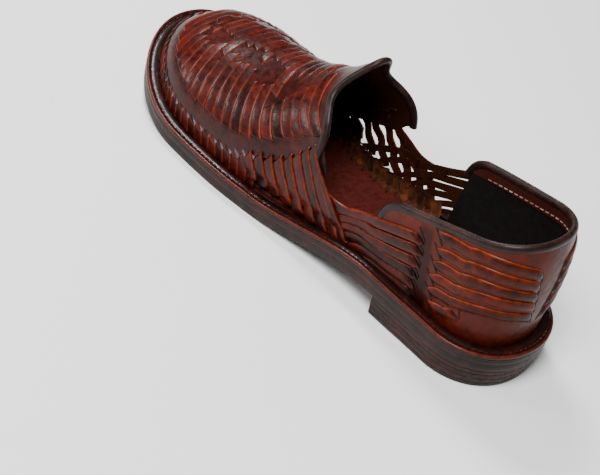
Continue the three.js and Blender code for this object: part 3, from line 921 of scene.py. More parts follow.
# Collar facing, dyed but not polished: a dull red brown strip under the binding.
FACING = Finish("dyed_collar_facing", "#260e0a", "#3a1610", "#4c2016", "#6a2c1c", raw="#3a1610",
                roughness=0.5, coat=0.03)

# Vegetable-tanned insole, dyed red: wide soft clouds with no shine.
INSOLE = Finish("dyed_vegetable_tanned_insole", "#2c0b07", "#3e100b", "#4c160f", "#56201a",
                raw="#3e100b", patch=30.0, roughness=0.62, shine=0.2, coat=0.0, contrast=0.8)

# Flesh side of a cut strap, left raw: brown, rough and dry.
RAW = Finish("raw_flesh_side", "#220e06", "#43200f", "#643216", "#6e3a1a", raw="#43200f",
             patch=7.0, roughness=0.8, shine=0.15, coat=0.0)

# Welt, waxed and ironed: dark red with a painted highlight line along its lip, and painted
# shade in its channel, at its join with the upper and down its outer face to the underside.
WELT = Finish("waxed_welt_leather", "#1a0705", "#300b07", "#44120a", "#6a281a", raw="#260d0a",
              patch=16.0, roughness=0.38, coat=0.12)

# Sole edge, inked and burnished: near black, with the brown fibres just showing, and a painted
# highlight line in the lighter brown along the top of each layer.
EDGE = Finish("burnished_sole_edge", "#120a08", "#221411", "#341b15", "#50342a", raw="#221411",
              patch=9.0, streak=2.0, grain=0.8, grain_depth=0.25, roughness=0.5, shine=0.2,
              coat=0.05)

# Heel of stacked leather lifts, rasped and inked: brown layers under a matt black ink, with
# painted shade in the grooves between them.
HEEL = Finish("stacked_heel_leather", "#120a08", "#261511", "#461d12", "#50342a", raw="#221411",
              patch=12.0, streak=2.4, grain=1.0, grain_depth=0.35, roughness=0.55, shine=0.2,
              coat=0.0, contrast=0.75)

# Linen thread, waxed: pale, slightly pink stitches against the dark facing.
THREAD = Finish("waxed_linen_thread", "#7a5a50", "#a4867a", "#c4aa9e", "#c4aa9e", raw="#a4867a",
                roughness=0.6, coat=0.05)

# Welt thread, dyed with the welt: stitches that show by their relief more than their colour.
DARK_THREAD = Finish("waxed_welt_thread", "#300f0a", "#4e1a12", "#703024", "#703024",
                     raw="#4e1a12", roughness=0.5, coat=0.1)


# ---------------------------------------------------------------- sole


@dataclass(frozen=True)
class Sole:
    """Leather bottom: outsole, midsole, welt with its stitches, insole and heel block.

    The heel's profile lists (height, inset, tint), with a groove between two lifts of leather.
    """

    last: Last = LAST
    stitch_pitch: float = 3.4
    stitch_length: float = 2.5
    stitch_thick: float = 0.75
    stitch_inset: float = 2.7
    edge_round: float = 0.45
    heel_taper: float = 1.6
    heel_breast: float = 2.5
    heel_rough: float = 0.07
    groove: float = 0.16
    heel_profile: tuple[tuple[float, float, float], ...] = (
        (0.0, 1.2, 0.2), (0.25, 0.5, 0.2), (0.9, 0.1, 0.3), (3.0, 0.0, 0.4),
        (3.2, 0.16, 0.4), (3.4, 0.0, 0.7), (6.2, 0.0, 0.7), (6.4, 0.16, 0.7),
        (6.6, 0.0, 0.4), (9.6, 0.0, 0.4), (9.8, 0.16, 0.4), (10.0, 0.0, 0.8),
        (12.4, 0.0, 0.8), (12.9, 0.3, 0.8),
    )

    def _edge(self, thick: float, crown: float) -> list[tuple[float, float]]:
        """Profile of a burnished edge as (inset, height), from its top to its underside."""
        soft = self.edge_round
        return [
            (soft * 2.5, thick), (soft, thick - 0.05), (soft * 0.3, thick - soft * 0.5),
            (0.0, thick - soft * 1.6), (-crown, thick * 0.5), (0.0, soft * 1.6),
            (soft * 0.3, soft * 0.5), (soft, 0.05), (soft * 2.5, 0.0),
        ]

    def layer(self, name: str, inset: float, bottom: float, top: float, crown: float) -> Hide:
        """Full-length layer of the bottom, with a rounded edge.

        Args:
            name: name of the piece.
            inset: how far its edge lies inside the sole's.
            bottom: height of its underside over the tread.
            top: height of its top over the tread.
            crown: how far the middle of its edge bows out.

        Returns:
            The layer's mesh.
        """
        hide = Hide(name)
        profile = self._edge(top - bottom, crown)
        s = np.concatenate([np.linspace(0.003, 1, 50), np.linspace(1, 2, 60)[1:],
                            np.linspace(2, 2.997, 40)[1:]])
        rings = []
        for side in Side:
            rows = [self.last.rim(s, side, inset + a, bottom + h) for a, h in profile]
            rings.append(np.stack(rows, 1) if side > 0 else np.stack(rows[::-1], 1))
        ring = np.concatenate(rings, 1)
        # Painted highlight: the top 0.5 mm of the edge takes the lighter edge colour, a light line
        # along each layer's top edge.
        edge = np.array([h > top - bottom - 0.5 for _, h in profile], float)
        marks = np.concatenate([edge, edge[::-1]])
        hide.add(ring, ring_faces(len(s), ring.shape[1]), edge=np.tile(marks, len(s)) * 0.8,
                 tint=0.4)
        return hide

    def loop(self, inset: float, height: float) -> Array:
        """Closed path around the sole at an inset and a height."""
        s = np.concatenate([np.linspace(0, 1, 60)[:-1], np.linspace(1, 2, 70)[:-1],
                            np.linspace(2, 3, 50)])
        outer = self.last.rim(s, 1, inset, height)
        inner = self.last.rim(s[1:-1][::-1], -1, inset, height)
        return np.concatenate([outer, inner])

    def welt(self) -> Hide:
        """Welt strip all round, with the stitch channel pressed into its top."""
        hide = Hide("welt_strip")
        low, high = self.last.seat, self.last.seat + self.last.welt
        wide = self.last.welt_width
        profile = [
            (wide, high - 0.1), (wide * 0.8, high), (3.6, high), (3.1, high - 0.35),
            (2.2, high - 0.35), (1.8, high - 0.02), (0.8, high), (0.25, high - 0.3),
            (0.0, high - 0.9), (0.0, low + 0.6), (0.4, low + 0.05), (wide, low),
        ]
        rings = np.stack([self.loop(a, h) for a, h in profile], 1)
        # Painted highlight: the edge colour lights the outer lip. Painted shade: the shade mark
        # darkens the join with the upper, the stitch channel and the outer face down to the
        # underside on the midsole.
        edge = np.array([0, 0, 0, 0.1, 0.1, 0.1, 0.5, 0.9, 0.4, 0, 0, 0])
        shade = np.array([0.6, 0.35, 0.0, 0.6, 0.6, 0.0, 0, 0, 0.2, 0.5, 0.8, 0.9])
        faces = ring_faces(len(rings), len(profile), closed=True)
        hide.add(rings, faces, edge=np.tile(edge, len(rings)), shade=np.tile(shade, len(rings)))
        return hide

    def welt_stitches(self) -> Hide:
        """Row of lockstitches in the welt's channel."""
        hide = Hide("welt_stitches")
        path = self.loop(self.stitch_inset, self.last.seat + self.last.welt - 0.15)
        path = np.concatenate([path, path[:1]])
        lay_stitches(hide, path, np.tile([0.0, 0.0, 1.0], (len(path), 1)),
                     self.stitch_pitch, self.stitch_length, self.stitch_thick)
        return hide

    def heel(self) -> Hide:
        """Heel block with a straight breast, slightly rough where its layers end."""
        hide = Hide("heel_block")
        s = np.concatenate([np.linspace(self.last.station(self.last.heel_length), 2, 14)[:-1],
                            np.linspace(2, 3, 40)])
        rng = np.random.default_rng(7)
        rows = []
        for height, inset, _ in self.heel_profile:
            taper = 1 + self.heel_taper * (1 - height / self.last.heel_height) + inset
            outer = self.last.rim(s, Side.OUTER, taper, 0)
            inner = self.last.rim(s[:-1][::-1], Side.INNER, taper, 0)
            y = np.linspace(inner[-1, 1], outer[0, 1], 14)[1:-1]
            bow = (1 - (y / abs(outer[0, 1])) ** 2) * self.heel_breast
            breast = np.stack([self.last.heel_length - bow, y, np.zeros(len(y))], 1)
            ring = np.concatenate([outer, inner, breast])
            ring[:, :2] += rng.normal(0, self.heel_rough, (len(ring), 2))
            ring[:, 2] = height
            rows.append(ring)
        rings = np.stack(rows)
        # Painted shade: the grooves between the lifts take the full shade mark.
        _, insets, tints = (np.array(c) for c in zip(*self.heel_profile))
        hide.add(rings, [f[::-1] for f in ring_faces(len(rings), rings.shape[1])],
                 shade=np.repeat(insets == self.groove, rings.shape[1]),
                 tint=np.repeat(tints, rings.shape[1]))
        return hide

    def build(self) -> list[bpy.types.Object]:
        """Makes every piece of the bottom."""
        last = self.last
        low = last.outsole + last.gap
        outsole = self.layer("outsole_edge", 0.35, 0.0, low, 0.15).build("sole_leather", EDGE)
        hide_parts("outsole")
        midsole = self.layer("midsole_edge", 0.1, low, low + last.midsole + last.gap, 0.1)
        midsole = midsole.build("sole_leather", EDGE)
        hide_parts("midsole")
        insole = self.layer("insole_board", last.foot_inset + last.gap, last.seat,
                            last.seat + last.insole, 0.0).build("insole_leather", INSOLE)
        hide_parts("insole")
        welt = self.welt().build("welt_leather", WELT, 60)
        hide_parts("welt")
        stitches = self.welt_stitches().build("welt_leather", DARK_THREAD)
        heel = self.heel().build("heel_leather", HEEL)
        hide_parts("heel")
        return [outsole, midsole, insole, welt, stitches, heel]


# ---------------------------------------------------------------- upper


# A span of arc from the ridge over which a strap lies on the base. One from 0 crosses the ridge,
# and one that ends at E runs on under the border band.
E = 999.0

# Strap rows from the throat to the toe. Between the spans the base leather shows.
WEAVE: tuple[Spans, ...] = (
    ((8, E),),
    ((0, 9), (18, E)),
    ((0, 11), (21, E)),
    ((0, 13), (25.5, E)),
    ((0, 15), (31, E)),
    ((3.5, 31), (36, E)),
    ((0, 14.5), (25, E)),
    ((0, 12.5), (28, E)),
    ((0, 11), (28.5, E)),
    ((3.5, 17.5), (22, E)),
    ((0, 10.5), (21.5, E)),
    ((0, 12.5), (24, E)),
    ((0, 14), (20.5, E)),
    ((3.5, 28), (31, E)),
    ((0, 13.5), (18.5, E)),
    ((0, 12.5), (23.5, E)),
    ((0, 11), (23, E)),
    ((6.5, 17), (20, E)),
    ((0, 8), (11, E)),
    ((0, E),),
    ((0, E),),
)


@dataclass(frozen=True)
class Upper:
    """Woven upper: base leather, vamp straps, border straps, lattice and shank straps.

    The runs of straps are (x, z) places on the wall, from a strap's upper or rear end down to
    the welt. On the inner side every run lies higher by inner_lift.
    """

    last: Last = LAST
    flat: Unrolled = VAMP
    base_thick: float = 1.2
    band_end: float = 195.0
    throat_blend: float = 8.0
    row_start: float = 168.6
    row_pitch: float = 5.25
    strap_wide: float = 5.9
    border_pitch: float = 5.8
    tooth_pitch: float = 5.6
    band_inner: Callable = field(default=curve(
        ((148, 50), (158, 42), (175, 30), (195, 21), (225, 20))), compare=False)
    band_outer: Callable = field(default=curve(
        ((146, 42), (151, 36), (157, 29.5), (166, 23.5), (175, 19.5), (195, 13), (225, 12))),
        compare=False)
    strap_top: Callable = field(default=curve(
        ((58, 62), (91, 49.4), (96, 47), (103, 43.4), (109, 40.4), (120, 38), (134, 40),
         (153, 48))), compare=False)
    inner_lift: Callable = field(default=curve(
        ((58, 5), (91, 7), (96, 7), (103, 7), (109, 7), (120, 7), (134, 7), (153, 4), (175, 3),
         (200, 0))), compare=False)
    base_foot: Callable = field(default=curve(
        ((145, 41), (166, 33), (184, 25), (191, 20), (196, 12))), compare=False)
    shank_runs: tuple[Table, ...] = (
        ((65.8, 58.2), (78, 53.4), (91, 47.6), (109, 39.2), (120, 33.8), (131, 27.8),
         (140, 22.4), (148, 16)),
        ((64, 52.2), (78, 46.4), (91, 41.4), (110, 34.2), (116, 30), (124, 24), (132, 17)),
        ((62.8, 45.2), (78, 39.8), (91, 36), (105, 31.2), (112, 28), (118, 23), (125, 16)),
        ((61.4, 38.4), (78, 34.0), (91, 31.4), (99, 29), (108, 24.5), (117, 16.5)),
        ((60.4, 32.4), (78, 29.0), (91, 27.4), (100, 23), (108, 16.5)),
        ((59.4, 26.6), (76, 24.6), (88, 23.2), (96, 20.5), (102, 16)),
    )
    throat_runs: tuple[Table, ...] = (
        ((122, 33.6), (131, 32.4), (141, 28.8), (151, 23.6), (162, 16.5)),
        ((133, 36.6), (145, 33.4), (155, 28.8), (164, 24.0), (175, 17)),
        ((152, 46), (143, 42.2), (134, 38.8), (124, 36.2), (113, 37.2), (104, 41)),
    )
    outer_lattice: tuple[Table, ...] = (
        ((180.5, 27.4), (176.5, 22.4), (171.5, 15.5)),
        ((174.6, 30.6), (170.2, 25), (164, 15.5)),
        ((168.6, 33.2), (163.8, 27), (160, 21.6), (156, 15.5)),
        ((163, 36.4), (158, 30.4), (152.6, 23.8), (147, 15.5)),
        ((158, 40.4), (152.6, 34.2), (146.4, 26), (138.5, 15.5)),
        ((153.8, 45.2), (147.6, 38), (140.4, 29), (130, 16)),
        ((150.4, 50.2), (143, 42), (134.4, 31.4), (121.5, 16)),
        ((147.2, 54), (138.4, 45), (128.4, 33.6), (119, 23.4), (112.5, 16)),
        ((141, 47.6), (132, 40.4), (122, 31.8), (112.5, 23), (105, 16)),
    )
    inner_lattice: tuple[Table, ...] = (
        ((181, 29), (176, 24.6), (169, 16.5)),
        ((173, 33), (167, 28.4), (160.5, 22.6), (155, 16)),
        ((164, 37.5), (158.2, 32.2), (152.5, 27), (147.7, 21.8), (143, 16)),
        ((156, 42.5), (149.5, 36.2), (144.6, 31), (140.8, 25.5), (136, 20.5), (131, 16)),
        ((147.5, 45), (141, 39.9), (137.2, 35), (133.6, 29.2), (128, 23.8), (121, 17)),
        ((136, 38.8), (131, 35.4), (126.5, 32), (120.5, 28.4), (116, 23), (111, 16.5)),
        ((123, 33.8), (118, 31.6), (112, 28.6), (107.5, 24), (103, 17)),
    )
    crossing_pitch: float = 6.95

    def lift(self, side: Side, x: float | Array) -> float | Array:
        """How much higher the strap work lies at x on the inner side."""
        return self.inner_lift(x) if side < 0 else 0.0

    def throat_foot(self, side: Side) -> float:
        """Level of the throat's lower end."""
        s = self.last.station(self.flat.throat)
        z = self.strap_top(153) + self.lift(side, 153) - 2.5
        return float(self.last.level(s, side, z))

    def base(self) -> Hide:
        """Base leather of the vamp, one shell from side to side."""
        hide = Hide("vamp_base")
        columns = np.concatenate([
            np.linspace(self.last.station(self.flat.throat), 1, 46),
            np.linspace(1, 0, 30)[1:],
        ])
        rows = 40
        outer, inner, edge = [], [], []
        for side in Side:
            for s in columns if side > 0 else columns[::-1][1:]:
                x = float(self.last.section(s, side)[0])
                low = 0.0
                if s > 1:
                    foot = self.base_foot(x) + self.lift(side, x)
                    low = float(self.last.level(s, side, foot)) if x < self.band_end else 0.0
                    if x < self.flat.throat + self.throat_blend:
                        ease = smooth((x - self.flat.throat) / self.throat_blend)
                        low = self.throat_foot(side) * (1 - ease) + low * ease
                t = low + (1 - low) * np.linspace(0, 1, rows)
                at = np.full(rows, s)
                if s > 1:
                    at = self.last.station(self.flat.leaning(x, t, side))
                outer.append(self.last.skin(at, side, t, self.base_thick))
                inner.append(self.last.skin(at, side, t, 0.0))
                rim = np.zeros(rows)
                rim[0] = 0.5 if s > 1 and x < self.band_end else 0.0
                edge.append(rim)
        lay_shell(hide, np.stack(outer)[::-1], np.stack(inner)[::-1], marks={
            "edge": np.stack(edge)[::-1], "tint": np.full((len(outer), rows), 0.45),
        })
        return hide

    def row_bend(self, u: float) -> float:
        """How strongly a row sweeps back as it goes down the sides."""
        return float(np.interp(u, [187, 200, 225, 255], [0.0082, 0.0066, 0.0042, 0.0]))

    def band_at(self, u: float, side: Side, table: Callable[[float], Array]) -> float:
        """Arc from the ridge at which a swept row meets a line of the border band.

        Args:
            u: where the row crosses the ridge.
            side: side of the shoe.
            table: the line's distance from the foot over x.

        Returns:
            The arc, to half a millimetre.
        """
        bend = self.row_bend(u)
        for w in np.arange(2.0, 90.0, 0.5):
            at = u - bend * w * w
            if self.flat.foot_distance(at, w * side) <= float(table(min(at, self.last.toe_x))):
                return float(w)
        return 90.0

    def vamp_straps(self) -> Hide:
        """Transverse straps over the base, each row overlapping the one behind it."""
        hide = Hide("vamp_straps")
        rng = np.random.default_rng(11)
        for i, spans in enumerate(WEAVE):
            u = self.row_start + i * self.row_pitch
            bend = self.row_bend(u)
            ends = {side: self.band_at(u, side, self.band_inner) for side in Side}
            tint = float(rng.uniform(0.15, 0.85))
            pieces: list[tuple[float, float]] = []
            for start, end in spans:
                stops = {side: min(end, ends[side]) for side in Side}
                if start == 0:
                    pieces.append((stops[Side.OUTER], -stops[Side.INNER]))
                    continue
                if stops[Side.OUTER] - start > 4:
                    pieces.append((stops[Side.OUTER], start))
                if stops[Side.INNER] - start > 4:
                    pieces.append((-start, -stops[Side.INNER]))
            for start, stop in pieces:
                w = fine_ends(start, stop, 2.6)
                path = [(u - bend * v * v, v) for v in w]
                points, normals = self.flat.points(path, self.base_thick - 0.35)
                slant = float(rng.uniform(1.6, 2.6))
                cut = Cut(
                    width=self.strap_wide + float(rng.uniform(-0.2, 0.3)), thick=1.25,
                    tuck=(1.6, 1.6), tuck_length=1.7, skew=(slant, -slant), tilt=0.42,
                    tint=float(np.clip(tint + rng.normal(0, 0.15), 0, 1)),
                    shade=float(rng.uniform(0, 0.35)),
                )
                lay_strap(hide, points, normals, cut)
        return hide

    def perimeter(self, side: Side) -> list[tuple[float, float]]:
        """Places of the border straps along one side.

        Args:
            side: side of the shoe.

        Returns:
            For each strap its station and the band's distance from the foot there.
        """
        s = np.linspace(0.0, float(self.last.station(172)), 400)
        x = self.last.section(s, side)[0]
        far = np.where(s > 1, self.band_outer(x), self.band_outer(self.last.toe_x))
        t = np.array([self.flat.level(a, side, self.flat.total(a, side) - d * 0.6)
                      for a, d in zip(s, far)])
        run = arc_length(self.last.point(s, side, t))
        marks = np.arange(9.5, run[-1], self.border_pitch)
        return [(float(np.interp(m, run, s)), float(np.interp(m, run, far))) for m in marks]

    def border_straps(self) -> Hide:
        """Straps that come out from under the border band and go down to the welt."""
        hide = Hide("border_straps")
        rng = np.random.default_rng(23)
        for side in Side:
            for s, far in self.perimeter(side):
                total = self.flat.total(s, side)
                arcs = fine_ends(total - far - 0.2, total - 0.2, 2.4)
                drift = 0.012 * max(0.0, min(1.0, s))
                q = s + drift * (arcs - arcs[0]) / far
                t = np.array([self.flat.level(a, side, b) for a, b in zip(q, arcs)])
                points = self.last.skin(q, side, t, self.base_thick - 0.3)
                normals = self.last.normal(q, side, t)
                slant = float(rng.uniform(1.6, 2.8)) * side
                cut = Cut(
                    width=self.border_pitch * 1.14, thick=1.2, tuck=(1.6, 0.0), tuck_length=1.8,
                    skew=(slant, 0.0), tilt=0.36 * side, tint=float(rng.uniform(0.1, 0.9)),
                    shade=float(rng.uniform(0.1, 0.5)),
                    taper=(0.92, 1.06 if s > 1 else 1.2),
                )
                lay_strap(hide, points, normals, cut)
        return hide

    def toe_gate(self) -> Hide:
        """Short strap woven through the middle of the toe."""
        hide = Hide("toe_gate_strap")
        total = self.flat.total(0.0, Side.OUTER)
        centre = self.last.toe_x + total - 13.0
        path = [(centre, w) for w in np.linspace(3.0, -3.0, 7)]
        points, normals = self.flat.points(path, self.base_thick - 0.4)
        lay_strap(hide, points, normals, Cut(5.2, 1.2, tuck=(1.3, 1.3), tuck_length=1.6, tint=0.3))
        return hide

    @staticmethod
    def _spaced(path: Table, pitch: float) -> Array:
        """Shares of a path's length, about pitch apart and closer at both ends."""
        length = sum(math.dist(a, b) for a, b in zip(path, path[1:]))
        return fine_ends(0.0, length, pitch) / length

    def _on_wall(
        self, path: Table, side: Side, shares: Array, offset: Array | float
    ) -> tuple[Array, Array]:
        """Smooth path over the wall.

        Args:
            path: its (x, z) places.
            side: side of the shoe.
            shares: shares of its length at which it is taken.
            offset: how far it lies off the last.

        Returns:
            Its points and the last's normals there.
        """
        knots = np.array(path, float)
        run = np.concatenate([[0], np.cumsum(np.hypot(*np.diff(knots, axis=0).T))])
        at = shares * run[-1]
        x = curve(list(zip(run, knots[:, 0])))(at)
        z = curve(list(zip(run, knots[:, 1])))(at) + self.lift(side, x)
        s = self.last.station(x)
        t = self.last.level(s, side, z)
        return self.last.skin(s, side, t, offset), self.last.normal(s, side, t)

    def shank_straps(self) -> Hide:
        """Straps from the lattice to the counter, over its front edge and into its first slits."""
        hide = Hide("shank_straps")
        rng = np.random.default_rng(31)
        for side in Side:
            for k, run in enumerate(self.shank_runs):
                at = self._spaced(run, 2.6)
                x = run[0][0] + (run[-1][0] - run[0][0]) * at
                off = (self.last.wall + 0.1) * (1 - smooth((x - 89) / 14))
                points, normals = self._on_wall(run, side, at, off)
                narrow = 0.66 if side > 0 else 0.52
                cut = Cut(width=5.7 if k < 5 else 4.4, thick=1.2, tuck=(1.1, 0.0), tuck_length=3.2,
                          skew=(-2.2 * side, 0.0), tilt=0.25 * side, crown=0.3,
                          taper=(1.0, narrow), tint=float(rng.uniform(0.1, 0.8)),
                          shade=float(rng.uniform(0.25, 0.6)))
                lay_strap(hide, points, normals, cut)
            for k, run in enumerate(self.throat_runs):
                if side is Side.INNER and k == 1:
                    continue  # leaves the tall openings under the inner throat
                points, normals = self._on_wall(run, side, self._spaced(run, 2.6), 0.1)
                cut = Cut(width=4.8 if side > 0 else 4.0, thick=1.2, tilt=0.2 * side, crown=0.2,
                          tuck=(1.2, 1.2), tint=float(rng.uniform(0.1, 0.8)),
                          shade=float(rng.uniform(0.1, 0.4)))
                lay_strap(hide, points, normals, cut)
        return hide

    def lattice_straps(self) -> Hide:
        """Straps that leave the border band, cross the shank straps and go down to the welt."""
        hide = Hide("lattice_straps")
        rng = np.random.default_rng(43)
        for side, runs in zip(Side, (self.outer_lattice, self.inner_lattice)):
            for k, run in enumerate(runs):
                at = self._spaced(run, 2.2)
                length = sum(math.dist(a, b) for a, b in zip(run, run[1:]))
                wave = 0.55 + 0.75 * np.cos(at * length / self.crossing_pitch * np.pi + k * np.pi)
                if side > 0:
                    wave = 1.35 + (wave - 1.35) * smooth((at - 0.55) * 4) * 0.8
                points, normals = self._on_wall(run, side, at, wave + 0.1)
                cut = Cut(width=6.9 if side > 0 else 4.4, thick=1.25, crown=0.15,
                          tuck=(2.2 if side > 0 else 0.0, 0.0), tuck_length=2.2,
                          skew=(-1.8 * side, 0.0), tilt=0.45 * side,
                          tint=float(rng.uniform(0.1, 0.8)), shade=float(rng.uniform(0.0, 0.3)))
                lay_strap(hide, points, normals, cut)
        return hide

    def inside_teeth(self) -> Hide:
        """Raw strap ends turned in over the insole's edge."""
        hide = Hide("inside_strap_ends")
        rng = np.random.default_rng(5)
        floor = self.last.seat + self.last.insole
        for side in Side:
            for x in np.arange(98.0, 200.0, self.tooth_pitch):
                s = float(self.last.station(x))
                wall, facing = [], []
                lean = float(rng.uniform(-0.8, 0.8))
                reach = float(rng.uniform(4.6, 6.4))
                inwards = np.array([0.0, -side, 0.0])
                upwards = np.array([0.0, 0.0, 1.0])
                foot = float(self.last.rim(s, side, self.last.foot_inset, floor)[2])
                for z in (8.5, 6.4, 4.4, 2.8, 1.5):
                    t = float(self.last.level(s, side, foot + z))
                    wall.append(self.last.skin(np.array(s), side, np.array(t), -0.9))
                    facing.append(inwards)
                for share in (0.25, 0.6, 1.0):
                    wall.append(self.last.rim(s, side, self.last.foot_inset + 0.9 + reach * share,
                                              floor + 0.35 + 0.9 * (1 - share) ** 2))
                    facing.append(inwards * (1 - share) * 0.7 + upwards)
                points = np.stack(wall)
                points[:, 0] += np.linspace(3.0, -3.0 + lean, len(points))
                lay_strap(hide, points, unit(np.stack(facing)),
                          Cut(width=6.8, thick=0.5, point=(0.0, 7.0), tilt=0.3 * side,
                              tint=float(rng.uniform(0, 1)), shade=float(rng.uniform(0, 0.3))))
        return hide

    def build(self) -> list[bpy.types.Object]:
        """Makes every piece of the upper."""
        base = self.base().build("strap_leather", BASE)
        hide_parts("upper")
        straps = (self.vamp_straps, self.border_straps, self.toe_gate, self.shank_straps,
                  self.lattice_straps)
        laid = [lay().build("strap_leather", STRAP) for lay in straps]
        return [base, *laid, self.inside_teeth().build("strap_leather", RAW)]


# ---------------------------------------------------------------- counter


@dataclass(frozen=True)
class HeelCounter:
    """Tall heel counter with its ribs, lining, facing, stitch row and painted shade in its slits.

    The ribs run through (station, z) places from the front to the back, and so do the slits for
    the ends of the shank straps. The set-back is how far the front edge leans over its height.
    """

    last: Last = LAST
    front: float = 91.0
    back: float = 8.0
    outer_top: float = 59.5
    inner_top: float = 64.5
    back_top: float = 86.5
    set_back: Table = ((0, 0), (0.64, 0), (0.8, 0.4), (0.9, 1.8), (0.96, 4), (1, 8))
    rib_runs: tuple[Table, ...] = (
        ((1.9, 66.6), (1.95, 69.4), (2.1, 73.6), (2.42, 75.2), (2.72, 73.0), (2.82, 70.4)),
        ((1.918, 58.6), (1.97, 62.2), (2.16, 66.8), (2.47, 67.9), (2.74, 65.6), (2.84, 63.4)),
        ((1.922, 50.8), (1.975, 54.6), (2.22, 59.8), (2.52, 60.3), (2.78, 58.4), (2.87, 56.6)),
        ((1.928, 43), (1.985, 47.2), (2.28, 52.8), (2.58, 53.4), (2.82, 51.2), (2.9, 49.6)),
        ((1.938, 35.4), (1.995, 39.4), (2.33, 45.2), (2.63, 45.4), (2.84, 43.6), (2.92, 42)),
        ((1.952, 28), (1.99, 30.6), (2.06, 33.2), (2.13, 35)),
    )
    strap_slits: Table = ((1.832, 60.8), (1.842, 54.6), (1.848, 47.6), (1.856, 40.6),
                          (1.862, 34.4), (1.868, 28.4))
    band: Table = ((24, 53.6), (33, 56.6), (43, 58.6), (52, 60.4), (61, 63.2), (67, 65.0))
    lining: tuple[float, float] = (-0.2, 0.75)
    facing: tuple[float, float] = (-0.7, -0.25)
    inner_rise: float = 4.0

    def top(self, s: Array, side: Side) -> Array:
        """Height of the top line."""
        x = self.last.rim(s, side, self.last.foot_inset, 0)[..., 0]
        back = np.clip((self.front - x) / (self.front - self.back), 0, 1)
        low = self.outer_top if side > 0 else self.inner_top
        return low + (self.back_top - low) * back

    def place(self, s: Array, side: Side, height: Array) -> tuple[Array, Array]:
        """Finds places on the counter, with its front edge set back.

        Args:
            s: stations before the set-back.
            side: side of the shoe.
            height: shares of the counter's height.

        Returns:
            Their stations and levels.
        """
        s, height = np.broadcast_arrays(np.asarray(s, float), np.asarray(height, float))
        fade = np.clip(1 - (s - self.last.station(self.front)) / 0.25, 0, 1)
        xs, ys = zip(*self.set_back)
        moved = s + np.interp(height, xs, ys) / (self.last.toe_x - self.last.heel_x) * fade
        return moved, self.last.level(moved, side, self.top(moved, side)) * height

    def sheet(self, name: str, low: float, high: float, bottom: float = 0.0) -> Hide:
        """Shell of the counter's outline.

        Args:
            name: name of the piece.
            low: offset of its inside from the last.
            high: offset of its outside.
            bottom: share of the counter's height at which it starts.

        Returns:
            The shell's mesh, with wax in the dark band between the shank straps and the ribs, and
            painted shade over its lowest 9 mm, by the welt.
        """
        hide = Hide(name)
        front = float(self.last.station(self.front))
        stations = np.concatenate([np.linspace(front, 2, 52)[:-1], np.linspace(2, 2.9995, 34)])
        heights = bottom + (1 - bottom) * np.concatenate([
            np.linspace(0, 0.8, 30)[:-1], 0.8 + 0.2 * np.sin(np.linspace(0, np.pi / 2, 10)),
        ])
        outer, inner = [], []
        for side in Side:
            for s in stations if side > 0 else stations[::-1][1:]:
                q, t = self.place(s, side, heights)
                outer.append(self.last.skin(q, side, t, high))
                inner.append(self.last.skin(q, side, t, low))
        grid = np.stack(outer)
        rim = np.tile(np.linspace(0, 1, len(heights)) > 0.985, (len(grid), 1)).astype(float)
        x, z = grid[..., 0], grid[..., 2]
        middle = np.interp(z, *zip(*self.band))
        band = 1 - smooth((np.abs(x - middle) - 3.0) / 2.4)
        band = band * (1 - smooth((z - 64) / 5))
        # Painted shade: darker over the lowest 9 mm, where the counter meets the welt.
        foot = 1 - smooth((z - np.min(z)) / 9)
        shade = np.clip(0.85 * band + 0.35 * foot, 0, 1)
        lay_shell(hide, grid, np.stack(inner), marks={
            "edge": rim * 0.4, "tint": np.full(grid.shape[:2], 0.5), "shade": shade,
        })
        return hide

    def ribs(self) -> Hide:
        """Six ribs along each quarter, each going from one slanted slit into another."""
        hide = Hide("quarter_ribs")
        rng = np.random.default_rng(61)
        for side in Side:
            for run in self.rib_runs:
                points, normals = self._on_quarter(run, side)
                cut = Cut(width=6.3, thick=0.55, tuck=(0.9, 0.9), tuck_length=2.2,
                          skew=(-2.3 * side, -2.3 * side), tint=float(rng.uniform(0.2, 0.8)),
                          shade=float(rng.uniform(0.0, 0.2)), crown=0.85, tilt=0.22 * side)
                lay_strap(hide, points, normals, cut)
        return hide

    def _on_quarter(self, run: Table, side: Side, offset: float = 0.0) -> tuple[Array, Array]:
        """Path over the counter's outside.

        Args:
            run: its (station, z) places, which lie higher on the inner side.
            side: side of the shoe.
            offset: how far it lies off the counter.

        Returns:
            Its points and the last's normals there.
        """
        knots = np.array(run, float)
        if side is Side.INNER:
            knots[:, 1] += self.inner_rise * np.clip((2.9 - knots[:, 0]) / 1.1, 0, 1)
        t = self.last.level(knots[:, 0], side, knots[:, 1])
        place = self.last.point(knots[:, 0], side, t)
        arc = arc_length(place)
        at = fine_ends(0.0, float(arc[-1]), 2.2) if arc[-1] > 6 else np.linspace(0, arc[-1], 6)
        s = curve(list(zip(arc, knots[:, 0])))(at)
        z = curve(list(zip(arc, knots[:, 1])))(at)
        t = self.last.level(s, side, z)
        off = self.last.wall - 0.2 + offset
        return self.last.skin(s, side, t, off), self.last.normal(s, side, t)

    def slits(self) -> Hide:
        """Dark strips that paint the shade in the slits, cut at a slant, at both ends of the ribs
        and at the ends of the straps.
        """
